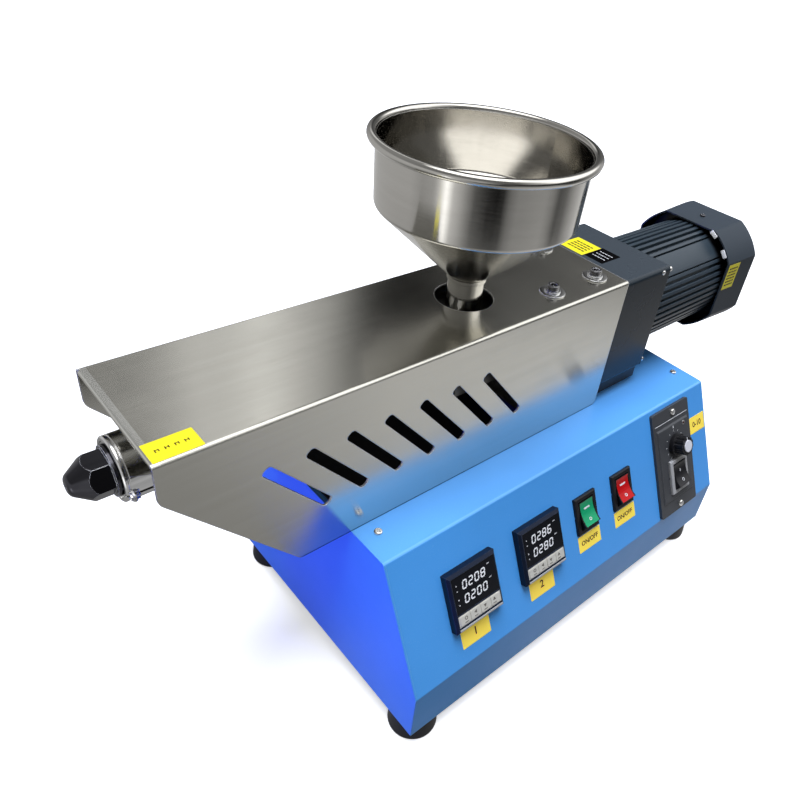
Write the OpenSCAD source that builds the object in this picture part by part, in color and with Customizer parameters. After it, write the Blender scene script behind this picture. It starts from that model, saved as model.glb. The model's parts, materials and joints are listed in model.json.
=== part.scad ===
/* [Cabinet] */
// Length of the sheet metal cabinet
cabinet_length = 392; // [300:1:500]
// Depth of the cabinet from its front skirt to its back
cabinet_depth = 250; // [200:1:320]
// Height of the upright skirt under the control panel
skirt_height = 47; // [30:1:80]
// How far the control panel leans back
panel_run = 48.5; // [20:1:80]
// How far the control panel rises
panel_rise = 101; // [90:1:160]
// Thickness of the cabinet sheet
cabinet_sheet = 1.5; // [1:0.1:3]
// Inside radius of the cabinet bends
cabinet_bend = 1.5; // [0.5:0.1:4]
// Width of the flanges folded on the side panels
flange_width = 22; // [12:1:40]
// Distance of the upper flanges from the top edge of the panel
flange_top_gap = 8; // [4:1:20]
// Distance of the flanges from the front and the back
flange_end_gap = 12; // [6:1:20]

/* [Feet] */
// Height of a rubber foot
foot_height = 22; // [6:1:30]
// Diameter of a foot at the cabinet
foot_top_d = 36; // [20:1:50]
// Diameter of a foot at the ground
foot_base_d = 40; // [16:1:46]
// Edge radius of a foot
foot_edge = 2.5; // [0.5:0.1:5]
// Distance of a foot centre from the cabinet sides
foot_inset = 20; // [18:0.5:60]

/* [Barrel cover] */
// Length of the stainless cover
cover_length = 394; // [300:1:500]
// Overhang of the cover past the left end of the cabinet
cover_overhang = 125; // [60:1:200]
// Width of the cover
cover_width = 102; // [80:1:160]
// Height of the cover above the cabinet
cover_height = 124.2; // [90:0.5:180]
// Distance from the top edge of the panel to the cover front
cover_setback = 36.5; // [20:0.1:80]
// Thickness of the cover sheet
cover_sheet = 1.5; // [1:0.1:3]
// Inside radius of the cover bends
cover_bend = 1; // [0.5:0.1:4]
// Depth of the cover sides at the nozzle end
cover_lip = 26.3; // [15:0.5:60]
// Overhang at which the slanted lower edge reaches the cabinet top
cover_slant_end = 40.7; // [0:1:90]
// Corner radii of the cover sides at the nozzle end, the cabinet and the drive
cover_corners = [10, 6, 5];
// Outside radius of the hem folded under the nozzle end of the cover top
hem_r = 2.4; // [1.8:0.1:4]
// Length of the folded hem
hem_length = 12; // [6:1:20]
// Number of vent slots in each cover side
slot_count = 7; // [1:1:10]
// Distance between vent slots
slot_pitch = 29.4; // [20:0.1:40]
// Width of a vent slot
slot_width = 7.6; // [4:0.5:14]
// Overall length of a vent slot
slot_length = 67; // [30:1:90]
// Distance of the first slot centre from the left end of the cabinet
slot_start = -41.3; // [-80:0.5:40]
// Height of the slot centres above the cabinet
slot_mid = 64.9; // [40:0.1:90]
// Slope of the vent slots
slot_angle = 48.4; // [30:0.1:60]
// Corner radius of a vent slot
slot_corner = 2.8; // [1:0.1:3.5]
// Diameter of the hole for the hopper neck
hopper_hole_d = 44; // [30:1:60]
// Diameter of the cover bolt holes
cover_bolt_d = 6.6; // [4:0.1:10]
// Distances of the cover bolts from the right end of the cover
cover_bolt_back = [71.5, 19.5];
// Distance of the cover bolts from the middle of the cover
cover_bolt_y = 29.8; // [20:0.5:45]

/* [Hopper] */
// Distance of the hopper from the right end of the cover
hopper_back = 137; // [100:0.5:180]
// Largest radius of the rolled rim
hopper_rim_r = 77.3; // [50:0.1:120]
// Radius of the rolled bead
hopper_bead_r = 3.3; // [1:0.1:6]
// Outside radius of the bowl at the top
hopper_bowl_r = 71.8; // [40:0.1:110]
// Outside radius of the bowl at the bottom
hopper_low_r = 70.6; // [40:0.1:110]
// Outside radius of the neck
hopper_neck_r = 13.4; // [8:0.5:25]
// Wall of the hopper
hopper_wall = 1.2; // [0.8:0.1:3]
// Height of the cone's lower end above the cover
hopper_cone_low = 18.8; // [10:0.1:40]
// Height of the cone's upper end above the cover
hopper_cone_high = 69.6; // [50:0.1:90]
// Height of the bead centre above the cover
hopper_rim_up = 114; // [90:0.1:160]
// Radius of the bend between the bowl and the cone
hopper_bend = 3.4; // [2:0.1:12]
// Radius of the bend between the cone and the neck
hopper_throat = 1.6; // [0.5:0.1:6]
// Height of the hopper collar on the neck
hopper_collar = 3; // [2:0.5:10]
// Height of the neck seat above the barrel axis
neck_seat = 17; // [16:0.1:30]
// Depth of the neck socket
neck_socket = 7; // [4:0.5:12]

/* [Drive] */
// Drop of the gearbox top below the cover top
gear_drop = 0.8; // [0:0.1:10]
// Length of the gearbox
gear_length = 61; // [40:1:100]
// Corner radius of the gearbox
gear_corner = 4; // [1:0.5:12]
// Offset of the barrel axis above the motor axis
shaft_offset = 15.5; // [0:1:30]
// Height of the mounting plate under the gearbox
plate_height = 19.4; // [8:0.1:30]
// Width of the mounting plate
plate_width = 84.5; // [60:0.1:100]
// Distance of the mounting plate right end past the gearbox
plate_past = 12.8; // [0:1:30]
// Distance of the mounting plate left end past the feed block
plate_gap = 6; // [2:1:20]
// Corner radius of the mounting plate
plate_corner = 5; // [1:0.5:12]
// Length of the motor body seen between gearbox and fan cover
motor_length = 108; // [80:1:200]
// How far the fin tips lie inside the gearbox outline
motor_inset = 2.2; // [0:0.1:10]
// Height of the cooling fins
fin_height = 3.5; // [1:0.1:6]
// Number of cooling fins
fin_count = 46; // [20:1:60]
// Share of the fin pitch taken by half a fin at its root and its tip
fin_half = [0.32, 0.24];
// Drop of the plain strip below the fin tips
strip_drop = 0.4; // [0:0.1:2]
// Angle of the plain strip on the motor
strip_angle = 24; // [10:1:60]
// Direction of the plain strip, upward from the front
strip_mid = 50; // [0:0.5:90]
// Length of the fan cover
fan_length = 47; // [30:1:90]
// How far the fan cover flats lie outside the gearbox outline at their front
fan_past = 0.6; // [0:0.1:10]
// How far the fan cover widens towards its end
fan_flare = 2.2; // [0:0.1:5]
// How far the fan cover rounds lie outside its flats
fan_round = 7; // [2:0.1:20]
// Wall of the fan cover
fan_wall = 1.8; // [1:0.1:4]
// Depth of the motor end inside the fan cover
motor_inside = 26; // [10:1:40]
// Thickness of the motor end plate that carries the fan cover
end_plate = 8; // [4:1:12]
// Radii of the vent hole circles in the fan cover
vent_circles = [16, 27, 38];
// Diameter of a vent hole in the fan cover
vent_d = 6; // [3:0.5:9]

/* [Barrel] */
// Outside diameter of the barrel
barrel_d = 30; // [20:1:40]
// Bore of the barrel
bore_d = 16; // [10:1:24]
// Diameter of a heater band
band_d = 40; // [32:1:50]
// Length of a heater band
band_length = 36; // [20:1:60]
// How far the front band stands out of the cover
band_out = 5.4; // [0:0.5:20]
// Distance of the rear band from the feed block
rear_band_back = 88; // [60:1:110]
// Diameter of the barrel flange
barrel_flange_d = 48; // [40:1:60]
// Thickness of the barrel flange
barrel_flange_t = 10; // [5:1:20]
// Gap left in a heater band
band_split = 2.4; // [1:0.1:5]
// Turn of the gap from straight down towards the front
band_turn = 72; // [0:1:180]
// Depth of the recess at the front of a heater band
band_recess = 3; // [1:0.5:8]
// Diameter of the recess
recess_d = 34.6; // [31:0.1:40]
// Bevel of the heater band edges
band_bevel = 0.8; // [0.2:0.1:2]
// Distance of the band groove from its edge, its width and its depth
band_groove = [2.2, 1.2, 0.5];
// Width of the nozzle across its flats
hex_flats = 24.6; // [18:0.5:32]
// Length of the nozzle hexagon
hex_length = 9.4; // [6:0.1:20]
// Turn of the nozzle hexagon about the barrel axis
hex_turn = 24; // [0:1:59]
// Bevel at the back of the nozzle hexagon
hex_bevel = 0.8; // [0.2:0.1:2]
// Diameter of the collar behind the nozzle hexagon
collar_d = 31; // [26:0.5:34]
// Thickness of the collar that stands out of the heater band
collar_t = 2.2; // [1:0.1:5]
// Length of the nozzle tip
tip_length = 12.8; // [6:0.1:30]
// Rounding of the nozzle tip edge
tip_round = 5; // [1:0.1:5.4]
// Radius of the rounded nozzle tip
tip_r = 5.5; // [3:0.1:10]
// Diameter of the die hole
die_d = 4; // [2:0.5:8]
// Length of the nozzle shank in the barrel
shank_length = 14; // [8:1:30]
// Length of the feed block before the hopper axis
feed_before = 26; // [20:1:40]
// Length of the feed block after the hopper axis
feed_after = 48; // [26:1:60]
// Depth of the feed block below the barrel axis
feed_below = 27; // [18:1:40]
// Wall at the closed end of the feed bore
feed_end_wall = 14; // [4:1:20]
// Width of the feed block
feed_width = 60; // [40:1:90]
// Diameter of the feed throat
throat_d = 18; // [8:1:20]
// Thickness of the insulation mat under the barrel
mat_thickness = 1.2; // [0.5:0.1:4]
// Distance of the insulation mat from the cabinet end and past the feed block
mat_ends = [4, 5];
// Gap between the insulation mat and the cover sides
mat_gap = 2; // [0.5:0.5:8]
// Gap between the thrust block and the cover sides
thrust_gap = 1; // [0.5:0.1:6]
// Diameter of the tapped holes for the cover bolts
tap_d = 5; // [3:0.1:8]
// Depth of the tapped holes
tap_depth = 20; // [8:1:30]

/* [Controllers] */
// Side of a temperature controller
case_size = 48; // [40:1:60]
// How far a controller stands out of the panel
case_out = 8; // [4:0.5:14]
// Bevel round the controller front
case_bevel = 2; // [0.5:0.1:4]
// Depth of a controller behind the panel
case_depth = 55; // [30:1:70]
// Side of the controller body behind the panel
case_body = 44.6; // [36:0.1:54]
// Width of the display and the key strip
display_w = 42.6; // [30:0.1:50]
// Height of the display
display_h = 29.6; // [20:0.1:36]
// Middle of the display above the controller middle
display_y = 6.6; // [0:0.1:12]
// Depth of the display and key recesses
display_t = 1.2; // [0.5:0.1:3]
// Height of the key strip
keys_h = 9.4; // [6:0.1:14]
// Middle of the key strip above the controller middle
keys_y = -14.1; // [-20:0.1:-8]
// Distance between keys
key_pitch = 10.4; // [6:0.1:12]
// Gap between keys
key_gap = 1.2; // [0.5:0.1:3]
// Distance of the keys from the long edges of the strip
key_edge = 0.8; // [0.3:0.1:2]
// Corner radius of a key
key_corner = 1; // [0.3:0.1:2]
// How far the keys stand out of the case front
key_out = 0.4; // [0.1:0.1:1]
// How far the display lies behind the case front
display_back = 0.1; // [0.1:0.1:0.5]
// How far the key strip lies behind the case front
strip_back = 0.2; // [0.1:0.1:0.5]
// Places of the controllers along the cabinet
case_at = [0.1696, 0.3579];
// Distance of the controllers below the top edge
case_v = 56; // [40:0.5:70]

/* [Switches] */
// Places of the two lit switches along the cabinet
switch_at = [0.5125, 0.64];
// Distance of the lit switches below the top edge
switch_v = 54.6; // [40:0.5:70]
// Width of a lit switch frame
switch_w = 27; // [20:0.5:40]
// Height of a lit switch frame
switch_h = 34; // [24:0.5:50]
// Thickness of a switch frame
switch_t = 3; // [1.5:0.1:5]
// Bevel of a switch frame
switch_bevel = 0.8; // [0.2:0.1:2]
// Width of a lit rocker
rocker_w = 18.8; // [10:0.5:24]
// Swing radius of a lit rocker
rocker_r = 13; // [8:0.1:15]
// Tilt of a rocker to each side
rocker_tilt = 13; // [6:0.5:16]
// Angle of a rocker's ends above its pins
rocker_up = 33; // [26:1:40]
// Angle of a rocker's ends below its pins
rocker_down = 20; // [14:1:30]
// Depth of the hollow in a rocker's face
rocker_dip = 2.4; // [1:0.1:4]
// Gap round a rocker
rocker_gap = 0.4; // [0.2:0.1:1]
// Diameter of a rocker pin
pin_d = 3; // [2:0.1:4]
// Radial clearance of a rocker pin
pin_clear = 0.05; // [0.02:0.01:0.1]
// Depth of a rocker pin axis below the panel face
pin_depth = 1; // [0:0.1:3]
// Wall of a switch housing
switch_wall = 2; // [1.5:0.1:3]
// Depth of a switch housing
switch_depth = 13; // [12:0.5:24]

/* [Speed control] */
// Width of the speed plate
speed_w = 58; // [50:0.5:70]
// Height of the speed plate
speed_h = 106; // [90:0.5:110]
// Thickness of the speed plate
speed_t = 3; // [1.5:0.1:5]
// Corner radius of the speed plate
speed_corner = 2; // [0.5:0.1:6]
// Place of the speed plate along the cabinet
speed_at = 0.8474; // [0.8:0.0001:0.9]
// Width of the border round the speed control body
speed_border = 4; // [2:0.5:8]
// Height of the borders above and below the speed control body
speed_end = 10; // [6:0.5:20]
// Distance of the speed plate middle below the top edge
speed_v = 58; // [55:0.5:60]
// How far the raised field stands out of the plate
field_t = 1.4; // [0.5:0.1:3]
// Height of the raised field
field_h = 76; // [60:0.5:86]
// How far the raised field lies below the plate middle
field_down = 2; // [0:0.5:6]
// Position of the knob below the top edge
knob_v = 42.5; // [30:0.5:60]
// Distance of the knob from the plate middle
knob_u = 0; // [-12:0.5:12]
// Largest diameter of the knob
knob_d = 21; // [12:0.5:24]
// Diameter of the fluted part of the knob
grip_d = 18; // [10:0.5:22]
// Height of the knob
knob_h = 13; // [10:0.5:24]
// Gap under the knob
knob_gap = 1; // [0.5:0.1:3]
// Height of the knob's wide foot
knob_foot = 4; // [2:0.5:8]
// Diameter of the flutes in the knob grip
flute_d = 2.4; // [1:0.1:4]
// Number of flutes in the knob grip
flute_count = 12; // [6:1:24]
// Distance of the flute centres outside the grip
flute_out = 0.4; // [0:0.1:1]
// Diameter of the knob shaft
shaft_d = 6; // [4:0.1:8]
// Radial clearance of the knob shaft
shaft_clear = 0.05; // [0.02:0.01:0.1]
// Length of the knob shaft in its bushing
shaft_length = 10; // [6:0.5:20]
// Diameter of the knob cap
cap_d = 11.5; // [6:0.5:14]
// Thickness of the knob cap
cap_t = 1; // [0.5:0.1:2]
// Position of the run switch below the top edge
run_v = 73.4; // [66:0.5:90]
// Depth of the speed control behind the panel
speed_depth = 24; // [16:1:50]

/* [Cord grommet] */
// Flange diameter of the plain grommet at the back
grommet_d = 26; // [16:1:40]
// Diameter of the grommet hole in the cabinet
grommet_hole_d = 20; // [10:1:30]
// How far the grommet stands out of the back
grommet_out = 5; // [2:0.5:12]
// Diameter of the grommet sleeve outside the back
sleeve_d = 17; // [10:0.5:24]
// Thickness of the grommet flanges
grommet_lip = 2.5; // [1:0.1:4]
// Slope of the outer grommet flange
grommet_slope = 2; // [0.5:0.1:4]
// Distance of the grommet from the right end
grommet_x = 60; // [30:1:150]
// Height of the grommet above the cabinet bottom
grommet_z = 40; // [30:1:110]

/* [Hidden] */
$fn = 64;
panel_angle = atan2(panel_rise, panel_run);
panel_length = norm([panel_run, panel_rise]);
top_z = foot_height + skirt_height + panel_rise;
cover_end = cover_length - cover_overhang;
fan_start = cover_end + gear_length + motor_length;
fan_end = fan_start + fan_length;
band_start = -cover_overhang - band_out;
barrel_start = band_start + band_recess;
hex_end = band_start - collar_t - hex_length;
tip_end = hex_end - tip_length;
left_x = -(fan_end + tip_end) / 2;
plate_low_v = speed_v + speed_h / 2;
plate_reach = plate_low_v * cos(panel_angle) + speed_t * sin(panel_angle);
front_reach = max(panel_run, plate_reach);
back_y = cabinet_depth - panel_run;
back_reach = back_y + grommet_out;
edge_y = (front_reach - back_reach) / 2;
axis_y = edge_y + cover_setback + cover_width / 2;
gear_width = cover_width;
gear_height = cover_height - plate_height - gear_drop;
motor_z = top_z + plate_height + gear_height / 2;
motor_r = gear_height / 2 - motor_inset;
fan_flat = gear_height / 2 + fan_past;
fan_r = fan_flat + fan_round;
barrel_z = motor_z + shaft_offset;
cover_inside = top_z + cover_height - cover_sheet;
hopper_x = cover_end - hopper_back;
feed_start = hopper_x - feed_before;
feed_end = hopper_x + feed_after;
feed_length = feed_end - feed_start;
thrust_length = cover_end - feed_end;
thrust_width = cover_width - 2 * (cover_sheet + thrust_gap);
seat_z = barrel_z + neck_seat;
feed_top = seat_z + neck_socket;
feed_bottom = barrel_z - feed_below;
rear_band_x = feed_start - rear_band_back;
cover_top = top_z + cover_height;
cone_low_z = cover_top + hopper_cone_low;
cone_high_z = cover_top + hopper_cone_high;
rim_z = cover_top + hopper_rim_up;
case_x = cabinet_length * case_at;
switch_x = cabinet_length * switch_at;
speed_x = cabinet_length * speed_at;
speed_body_w = speed_w - 2 * speed_border;
speed_body_h = speed_h - 2 * speed_end;
hex_r = hex_flats / 2 / cos(30);
fan_inner_r = fan_r - fan_wall;
fan_inner_flat = fan_flat - fan_wall;
switch_fit = 0.3;
seat_fit = 0.05;
blue = [0.18, 0.46, 0.88];
steel = [0.72, 0.71, 0.69];
slate = [0.20, 0.24, 0.28];
black = [0.05, 0.05, 0.06];
grey = [0.25, 0.26, 0.27];
silver = [0.75, 0.76, 0.78];

function unit(v) = v / norm(v);

function bend_points(a, b, c, r, n) =
    let (u = unit(a - b), w = unit(c - b), half = acos(u * w) / 2)
    let (o = b + unit(u + w) * r / sin(half), s = b + u * r / tan(half), e = b + w * r / tan(half))
    let (t0 = atan2(s.y - o.y, s.x - o.x), t1 = atan2(e.y - o.y, e.x - o.x))
    let (dt = ((t1 - t0 + 540) % 360) - 180)
    [for (i = [0 : n]) o + r * [cos(t0 + dt * i / n), sin(t0 + dt * i / n)]];

function soften(p, r, n = 6) =
    let (m = len(p))
    [for (i = [0 : m - 1]) each
        (r[i] > 0 ? bend_points(p[(i + m - 1) % m], p[i], p[(i + 1) % m], r[i], n) : [p[i]])];

function inset_point(a, b, c, t) =
    let (u = unit(a - b), w = unit(c - b), half = acos(u * w) / 2)
    b + unit(u + w) * t / sin(half);

function cabinet_line() = [
    [edge_y - panel_run, foot_height],
    [edge_y - panel_run, foot_height + skirt_height],
    [edge_y, top_z],
    [edge_y + back_y, top_z],
    [edge_y + back_y, foot_height]];

// Places children on the control panel: X to the right, Y up the slope, Z out of the panel
module on_panel(u, v) {
    translate([left_x + u, edge_y, top_z])
        rotate([panel_angle, 0, 0])
            translate([0, -v, 0])
                children();
}

// Extrudes a Y and Z outline along X
module along_x(x0, length) {
    translate([x0, 0, 0])
        rotate([90, 0, 90])
            linear_extrude(height = length)
                children();
}

module centred_box(w, h, z0, z1) {
    translate([-w / 2, -h / 2, z0])
        cube([w, h, z1 - z0]);
}

module rounded_plate(w, h, r, z0, z1) {
    q = [[-w / 2, -h / 2], [w / 2, -h / 2], [w / 2, h / 2], [-w / 2, h / 2]];
    translate([0, 0, z0])
        linear_extrude(height = z1 - z0)
            polygon(soften(q, [r, r, r, r]));
}

// A slab with its four front edges bevelled
module bevel_slab(w, h, t, b) {
    intersection() {
        translate([0, h / 2, 0])
            rotate([90, 0, 0])
                linear_extrude(height = h)
                    polygon([[-w / 2, 0], [w / 2, 0], [w / 2, t - b], [w / 2 - b, t],
                        [b - w / 2, t], [-w / 2, t - b]]);
        translate([-w / 2, 0, 0])
            rotate([90, 0, 90])
                linear_extrude(height = w)
                    polygon([[-h / 2, 0], [h / 2, 0], [h / 2, t - b], [h / 2 - b, t],
                        [b - h / 2, t], [-h / 2, t - b]]);
    }
}

module cabinet_outline() {
    p = cabinet_line();
    r = cabinet_bend + cabinet_sheet;
    polygon(soften(p, [0, r, r, r, 0]));
}

module cabinet_hood() {
    p = cabinet_line();
    t = cabinet_sheet;
    ro = cabinet_bend + t;
    ri = cabinet_bend;
    q = [[p[4].x - t, p[4].y], inset_point(p[2], p[3], p[4], t), inset_point(p[1], p[2], p[3], t),
        inset_point(p[0], p[1], p[2], t), [p[0].x + t, p[0].y]];
    color(blue)
        difference() {
            along_x(left_x + t, cabinet_length - 2 * t)
                polygon(soften(concat(p, q), [0, ro, ro, ro, 0, 0, ri, ri, ri, 0]));
            for (u = case_x)
                on_panel(u, case_v)
                    centred_box(case_body + 2 * switch_fit, case_body + 2 * switch_fit, -10, 10);
            for (u = switch_x)
                on_panel(u, switch_v)
                    centred_box(rocker_w + 2 * (rocker_gap + switch_wall + switch_fit),
                        2 * (rocker_r + rocker_gap + switch_wall + switch_fit), -10, 10);
            on_panel(speed_x, speed_v)
                centred_box(speed_body_w + 2 * switch_fit, speed_body_h + 2 * switch_fit, -10, 10);
            translate([left_x + cabinet_length - grommet_x, edge_y + back_y, foot_height + grommet_z])
                rotate([90, 0, 0])
                    cylinder(d = grommet_hole_d, h = 20, center = true);
        }
}

module side_panel(x0, flange_x) {
    t = cabinet_sheet;
    along_x(x0, t)
        cabinet_outline();
    translate([flange_x, edge_y + flange_top_gap, top_z - 2 * t])
        cube([flange_width, back_y - flange_top_gap - flange_end_gap, t]);
    translate([flange_x, edge_y - panel_run + flange_end_gap, foot_height + t])
        cube([flange_width, cabinet_depth - 2 * flange_end_gap, t]);
}

module left_side_panel() {
    color(blue)
        side_panel(left_x, left_x + cabinet_sheet);
}

module right_side_panel() {
    color(blue)
        side_panel(left_x + cabinet_length - cabinet_sheet,
            left_x + cabinet_length - cabinet_sheet - flange_width);
}

module floor_plate() {
    t = cabinet_sheet;
    color(blue)
        translate([left_x + t, edge_y - panel_run + t, foot_height])
            cube([cabinet_length - 2 * t, cabinet_depth - 2 * t, t]);
}

module rubber_feet() {
    q = [[0, 0], [foot_base_d / 2, 0], [foot_top_d / 2, foot_height], [0, foot_height]];
    color(black)
        for (x = [foot_inset, cabinet_length - foot_inset], y = [foot_inset, cabinet_depth - foot_inset])
            translate([left_x + x, edge_y - panel_run + y, 0])
                rotate_extrude()
                    polygon(soften(q, [0, foot_edge, 0, 0]));
}

module mounting_plate() {
    x0 = left_x + feed_end + plate_gap;
    x1 = left_x + cover_end + gear_length + plate_past;
    color(black)
        translate([(x0 + x1) / 2, axis_y, 0])
            rounded_plate(x1 - x0, plate_width, plate_corner, top_z, top_z + plate_height);
}

module gearbox() {
    s = gear_height / 2;
    w = gear_width / 2;
    q = [[axis_y - w, motor_z - s], [axis_y + w, motor_z - s], [axis_y + w, motor_z + s],
        [axis_y - w, motor_z + s]];
    color(slate)
        along_x(left_x + cover_end, gear_length)
            polygon(soften(q, [gear_corner, gear_corner, gear_corner, gear_corner]));
}

function motor_at(r, a) = [axis_y - r * cos(a), motor_z + r * sin(a)];

function motor_points() =
    let (span = 360 - strip_angle, pitch = span / fin_count, a0 = strip_mid + strip_angle / 2)
    let (root = motor_r - fin_height)
    concat(
        [for (i = [0 : 8]) motor_at(motor_r - strip_drop, a0 - strip_angle + strip_angle * i / 8)],
        [for (k = [0 : fin_count - 1]) let (a = a0 + pitch * (k + 0.5)) each
            [motor_at(root, a - fin_half[0] * pitch), motor_at(motor_r, a - fin_half[1] * pitch),
            motor_at(motor_r, a + fin_half[1] * pitch), motor_at(root, a + fin_half[0] * pitch)]]);

module fan_outline(r, f) {
    translate([axis_y, motor_z])
        intersection() {
            circle(r = r, $fn = 96);
            square([2 * f, 2 * f], center = true);
        }
}

module motor_body() {
    x0 = left_x + cover_end + gear_length;
    color(slate) {
        along_x(x0, motor_length + motor_inside)
            polygon(motor_points());
        along_x(x0 + motor_length + motor_inside - end_plate, end_plate)
            fan_outline(fan_inner_r, fan_inner_flat);
    }
}

// A wedge between two flats that open from the fan cover's front to its end
module fan_wedge() {
    f = fan_flat + fan_flare;
    linear_extrude(height = 4 * f, center = true)
        polygon([[0, -fan_flat], [fan_length, -f], [fan_length, f], [0, fan_flat]]);
}

module fan_cover() {
    x0 = left_x + fan_start;
    color(slate)
        difference() {
            translate([x0, axis_y, motor_z])
                intersection() {
                    rotate([0, 90, 0])
                        cylinder(r1 = fan_r, r2 = fan_r + fan_flare, h = fan_length, $fn = 96);
                    fan_wedge();
                    rotate([90, 0, 0])
                        fan_wedge();
                }
            along_x(x0 - 1, fan_length + 1 - fan_wall)
                fan_outline(fan_inner_r, fan_inner_flat);
            for (r = vent_circles, a = [0 : 45 : 315])
                translate([x0, axis_y, motor_z])
                    rotate([a, 0, 0])
                        translate([fan_length - fan_wall - 1, r, 0])
                            rotate([0, 90, 0])
                                cylinder(d = vent_d, h = fan_wall + 2, $fn = 24);
        }
}

module thrust_block() {
    color(steel)
        difference() {
            translate([left_x + feed_end, axis_y - thrust_width / 2, top_z + plate_height])
                cube([thrust_length, thrust_width, cover_inside - top_z - plate_height]);
            for (x = cover_bolt_back, y = [-cover_bolt_y, cover_bolt_y])
                translate([left_x + cover_end - x, axis_y + y, cover_inside - tap_depth])
                    cylinder(d = tap_d, h = tap_depth + 1, $fn = 32);
        }
}

module feed_block() {
    color(steel)
        difference() {
            translate([left_x + feed_start, axis_y - feed_width / 2, feed_bottom])
                cube([feed_length, feed_width, feed_top - feed_bottom]);
            translate([left_x + hopper_x, axis_y, seat_z])
                cylinder(r = hopper_neck_r + seat_fit, h = neck_socket + 1);
            translate([left_x + hopper_x, axis_y, barrel_z])
                cylinder(d = throat_d, h = neck_seat + 1);
            translate([left_x + feed_start - 1, axis_y, barrel_z])
                rotate([0, 90, 0])
                    cylinder(d = bore_d, h = feed_length + 1 - feed_end_wall);
        }
}

module barrel() {
    color(steel)
        difference() {
            union() {
                translate([left_x + barrel_start, axis_y, barrel_z])
                    rotate([0, 90, 0])
                        cylinder(d = barrel_d, h = feed_start - barrel_start);
                translate([left_x + feed_start - barrel_flange_t, axis_y, barrel_z])
                    rotate([0, 90, 0])
                        cylinder(d = barrel_flange_d, h = barrel_flange_t);
            }
            translate([left_x + barrel_start - 1, axis_y, barrel_z])
                rotate([0, 90, 0])
                    cylinder(d = bore_d, h = feed_start - barrel_start + 2);
        }
}

module heater_band(x0) {
    r = band_d / 2;
    b = band_bevel;
    g = band_groove;
    q = [[recess_d / 2, 0], [r - b, 0], [r, b], [r, g[0]], [r - g[2], g[0]], [r - g[2], g[0] + g[1]],
        [r, g[0] + g[1]], [r, band_length - b], [r - b, band_length], [barrel_d / 2, band_length],
        [barrel_d / 2, band_recess], [recess_d / 2, band_recess]];
    translate([left_x + x0, axis_y, barrel_z])
        difference() {
            rotate([0, 90, 0])
                rotate_extrude()
                    polygon(q);
            rotate([-band_turn, 0, 0])
                translate([-1, -band_split / 2, -band_d])
                    cube([band_length + 2, band_split, band_d]);
        }
}

module front_heater_band() {
    color(silver)
        heater_band(band_start);
}

module rear_heater_band() {
    color(silver)
        heater_band(rear_band_x);
}

module nozzle() {
    ro = hex_r + 0.2;
    l = hex_length + tip_length;
    q = [[0, 0], [ro - hex_bevel, 0], [ro, hex_bevel], [ro, hex_length], [tip_r, l], [0, l]];
    color(black)
        difference() {
            union() {
                translate([left_x + band_start - collar_t, axis_y, barrel_z])
                    rotate([0, -90, 0])
                        intersection() {
                            linear_extrude(height = l)
                                rotate(hex_turn)
                                    circle(r = hex_r, $fn = 6);
                            rotate_extrude()
                                polygon(soften(q, [0, 0, 0, 0, tip_round, 0], 8));
                        }
                translate([left_x + band_start - collar_t, axis_y, barrel_z])
                    rotate([0, 90, 0])
                        cylinder(d = collar_d, h = collar_t + band_recess);
                translate([left_x + barrel_start - 1, axis_y, barrel_z])
                    rotate([0, 90, 0])
                        cylinder(d = bore_d, h = shank_length + 1);
            }
            translate([left_x + tip_end - 1, axis_y, barrel_z])
                rotate([0, 90, 0])
                    cylinder(d = die_d, h = barrel_start - tip_end + shank_length + 2, $fn = 32);
        }
}

module vent_slot() {
    l = slot_length / 2;
    w = slot_width / 2;
    r = slot_corner;
    polygon(soften([[-l, -w], [l, -w], [l, w], [-l, w]], [r, r, r, r]));
}

// The nozzle end of the cover top, rolled under and back
module cover_hem(width) {
    t = cover_sheet;
    translate([left_x - cover_overhang + hem_r, axis_y + width / 2, top_z + cover_height - hem_r])
        rotate([90, 0, 0])
            linear_extrude(height = width) {
                difference() {
                    circle(r = hem_r);
                    circle(r = hem_r - t);
                    translate([0, -2 * hem_r])
                        square([2 * hem_r, 4 * hem_r]);
                }
                translate([0, hem_r - t])
                    square([t, t]);
                translate([0, -hem_r])
                    square([hem_length - hem_r, t]);
            }
}

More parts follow.
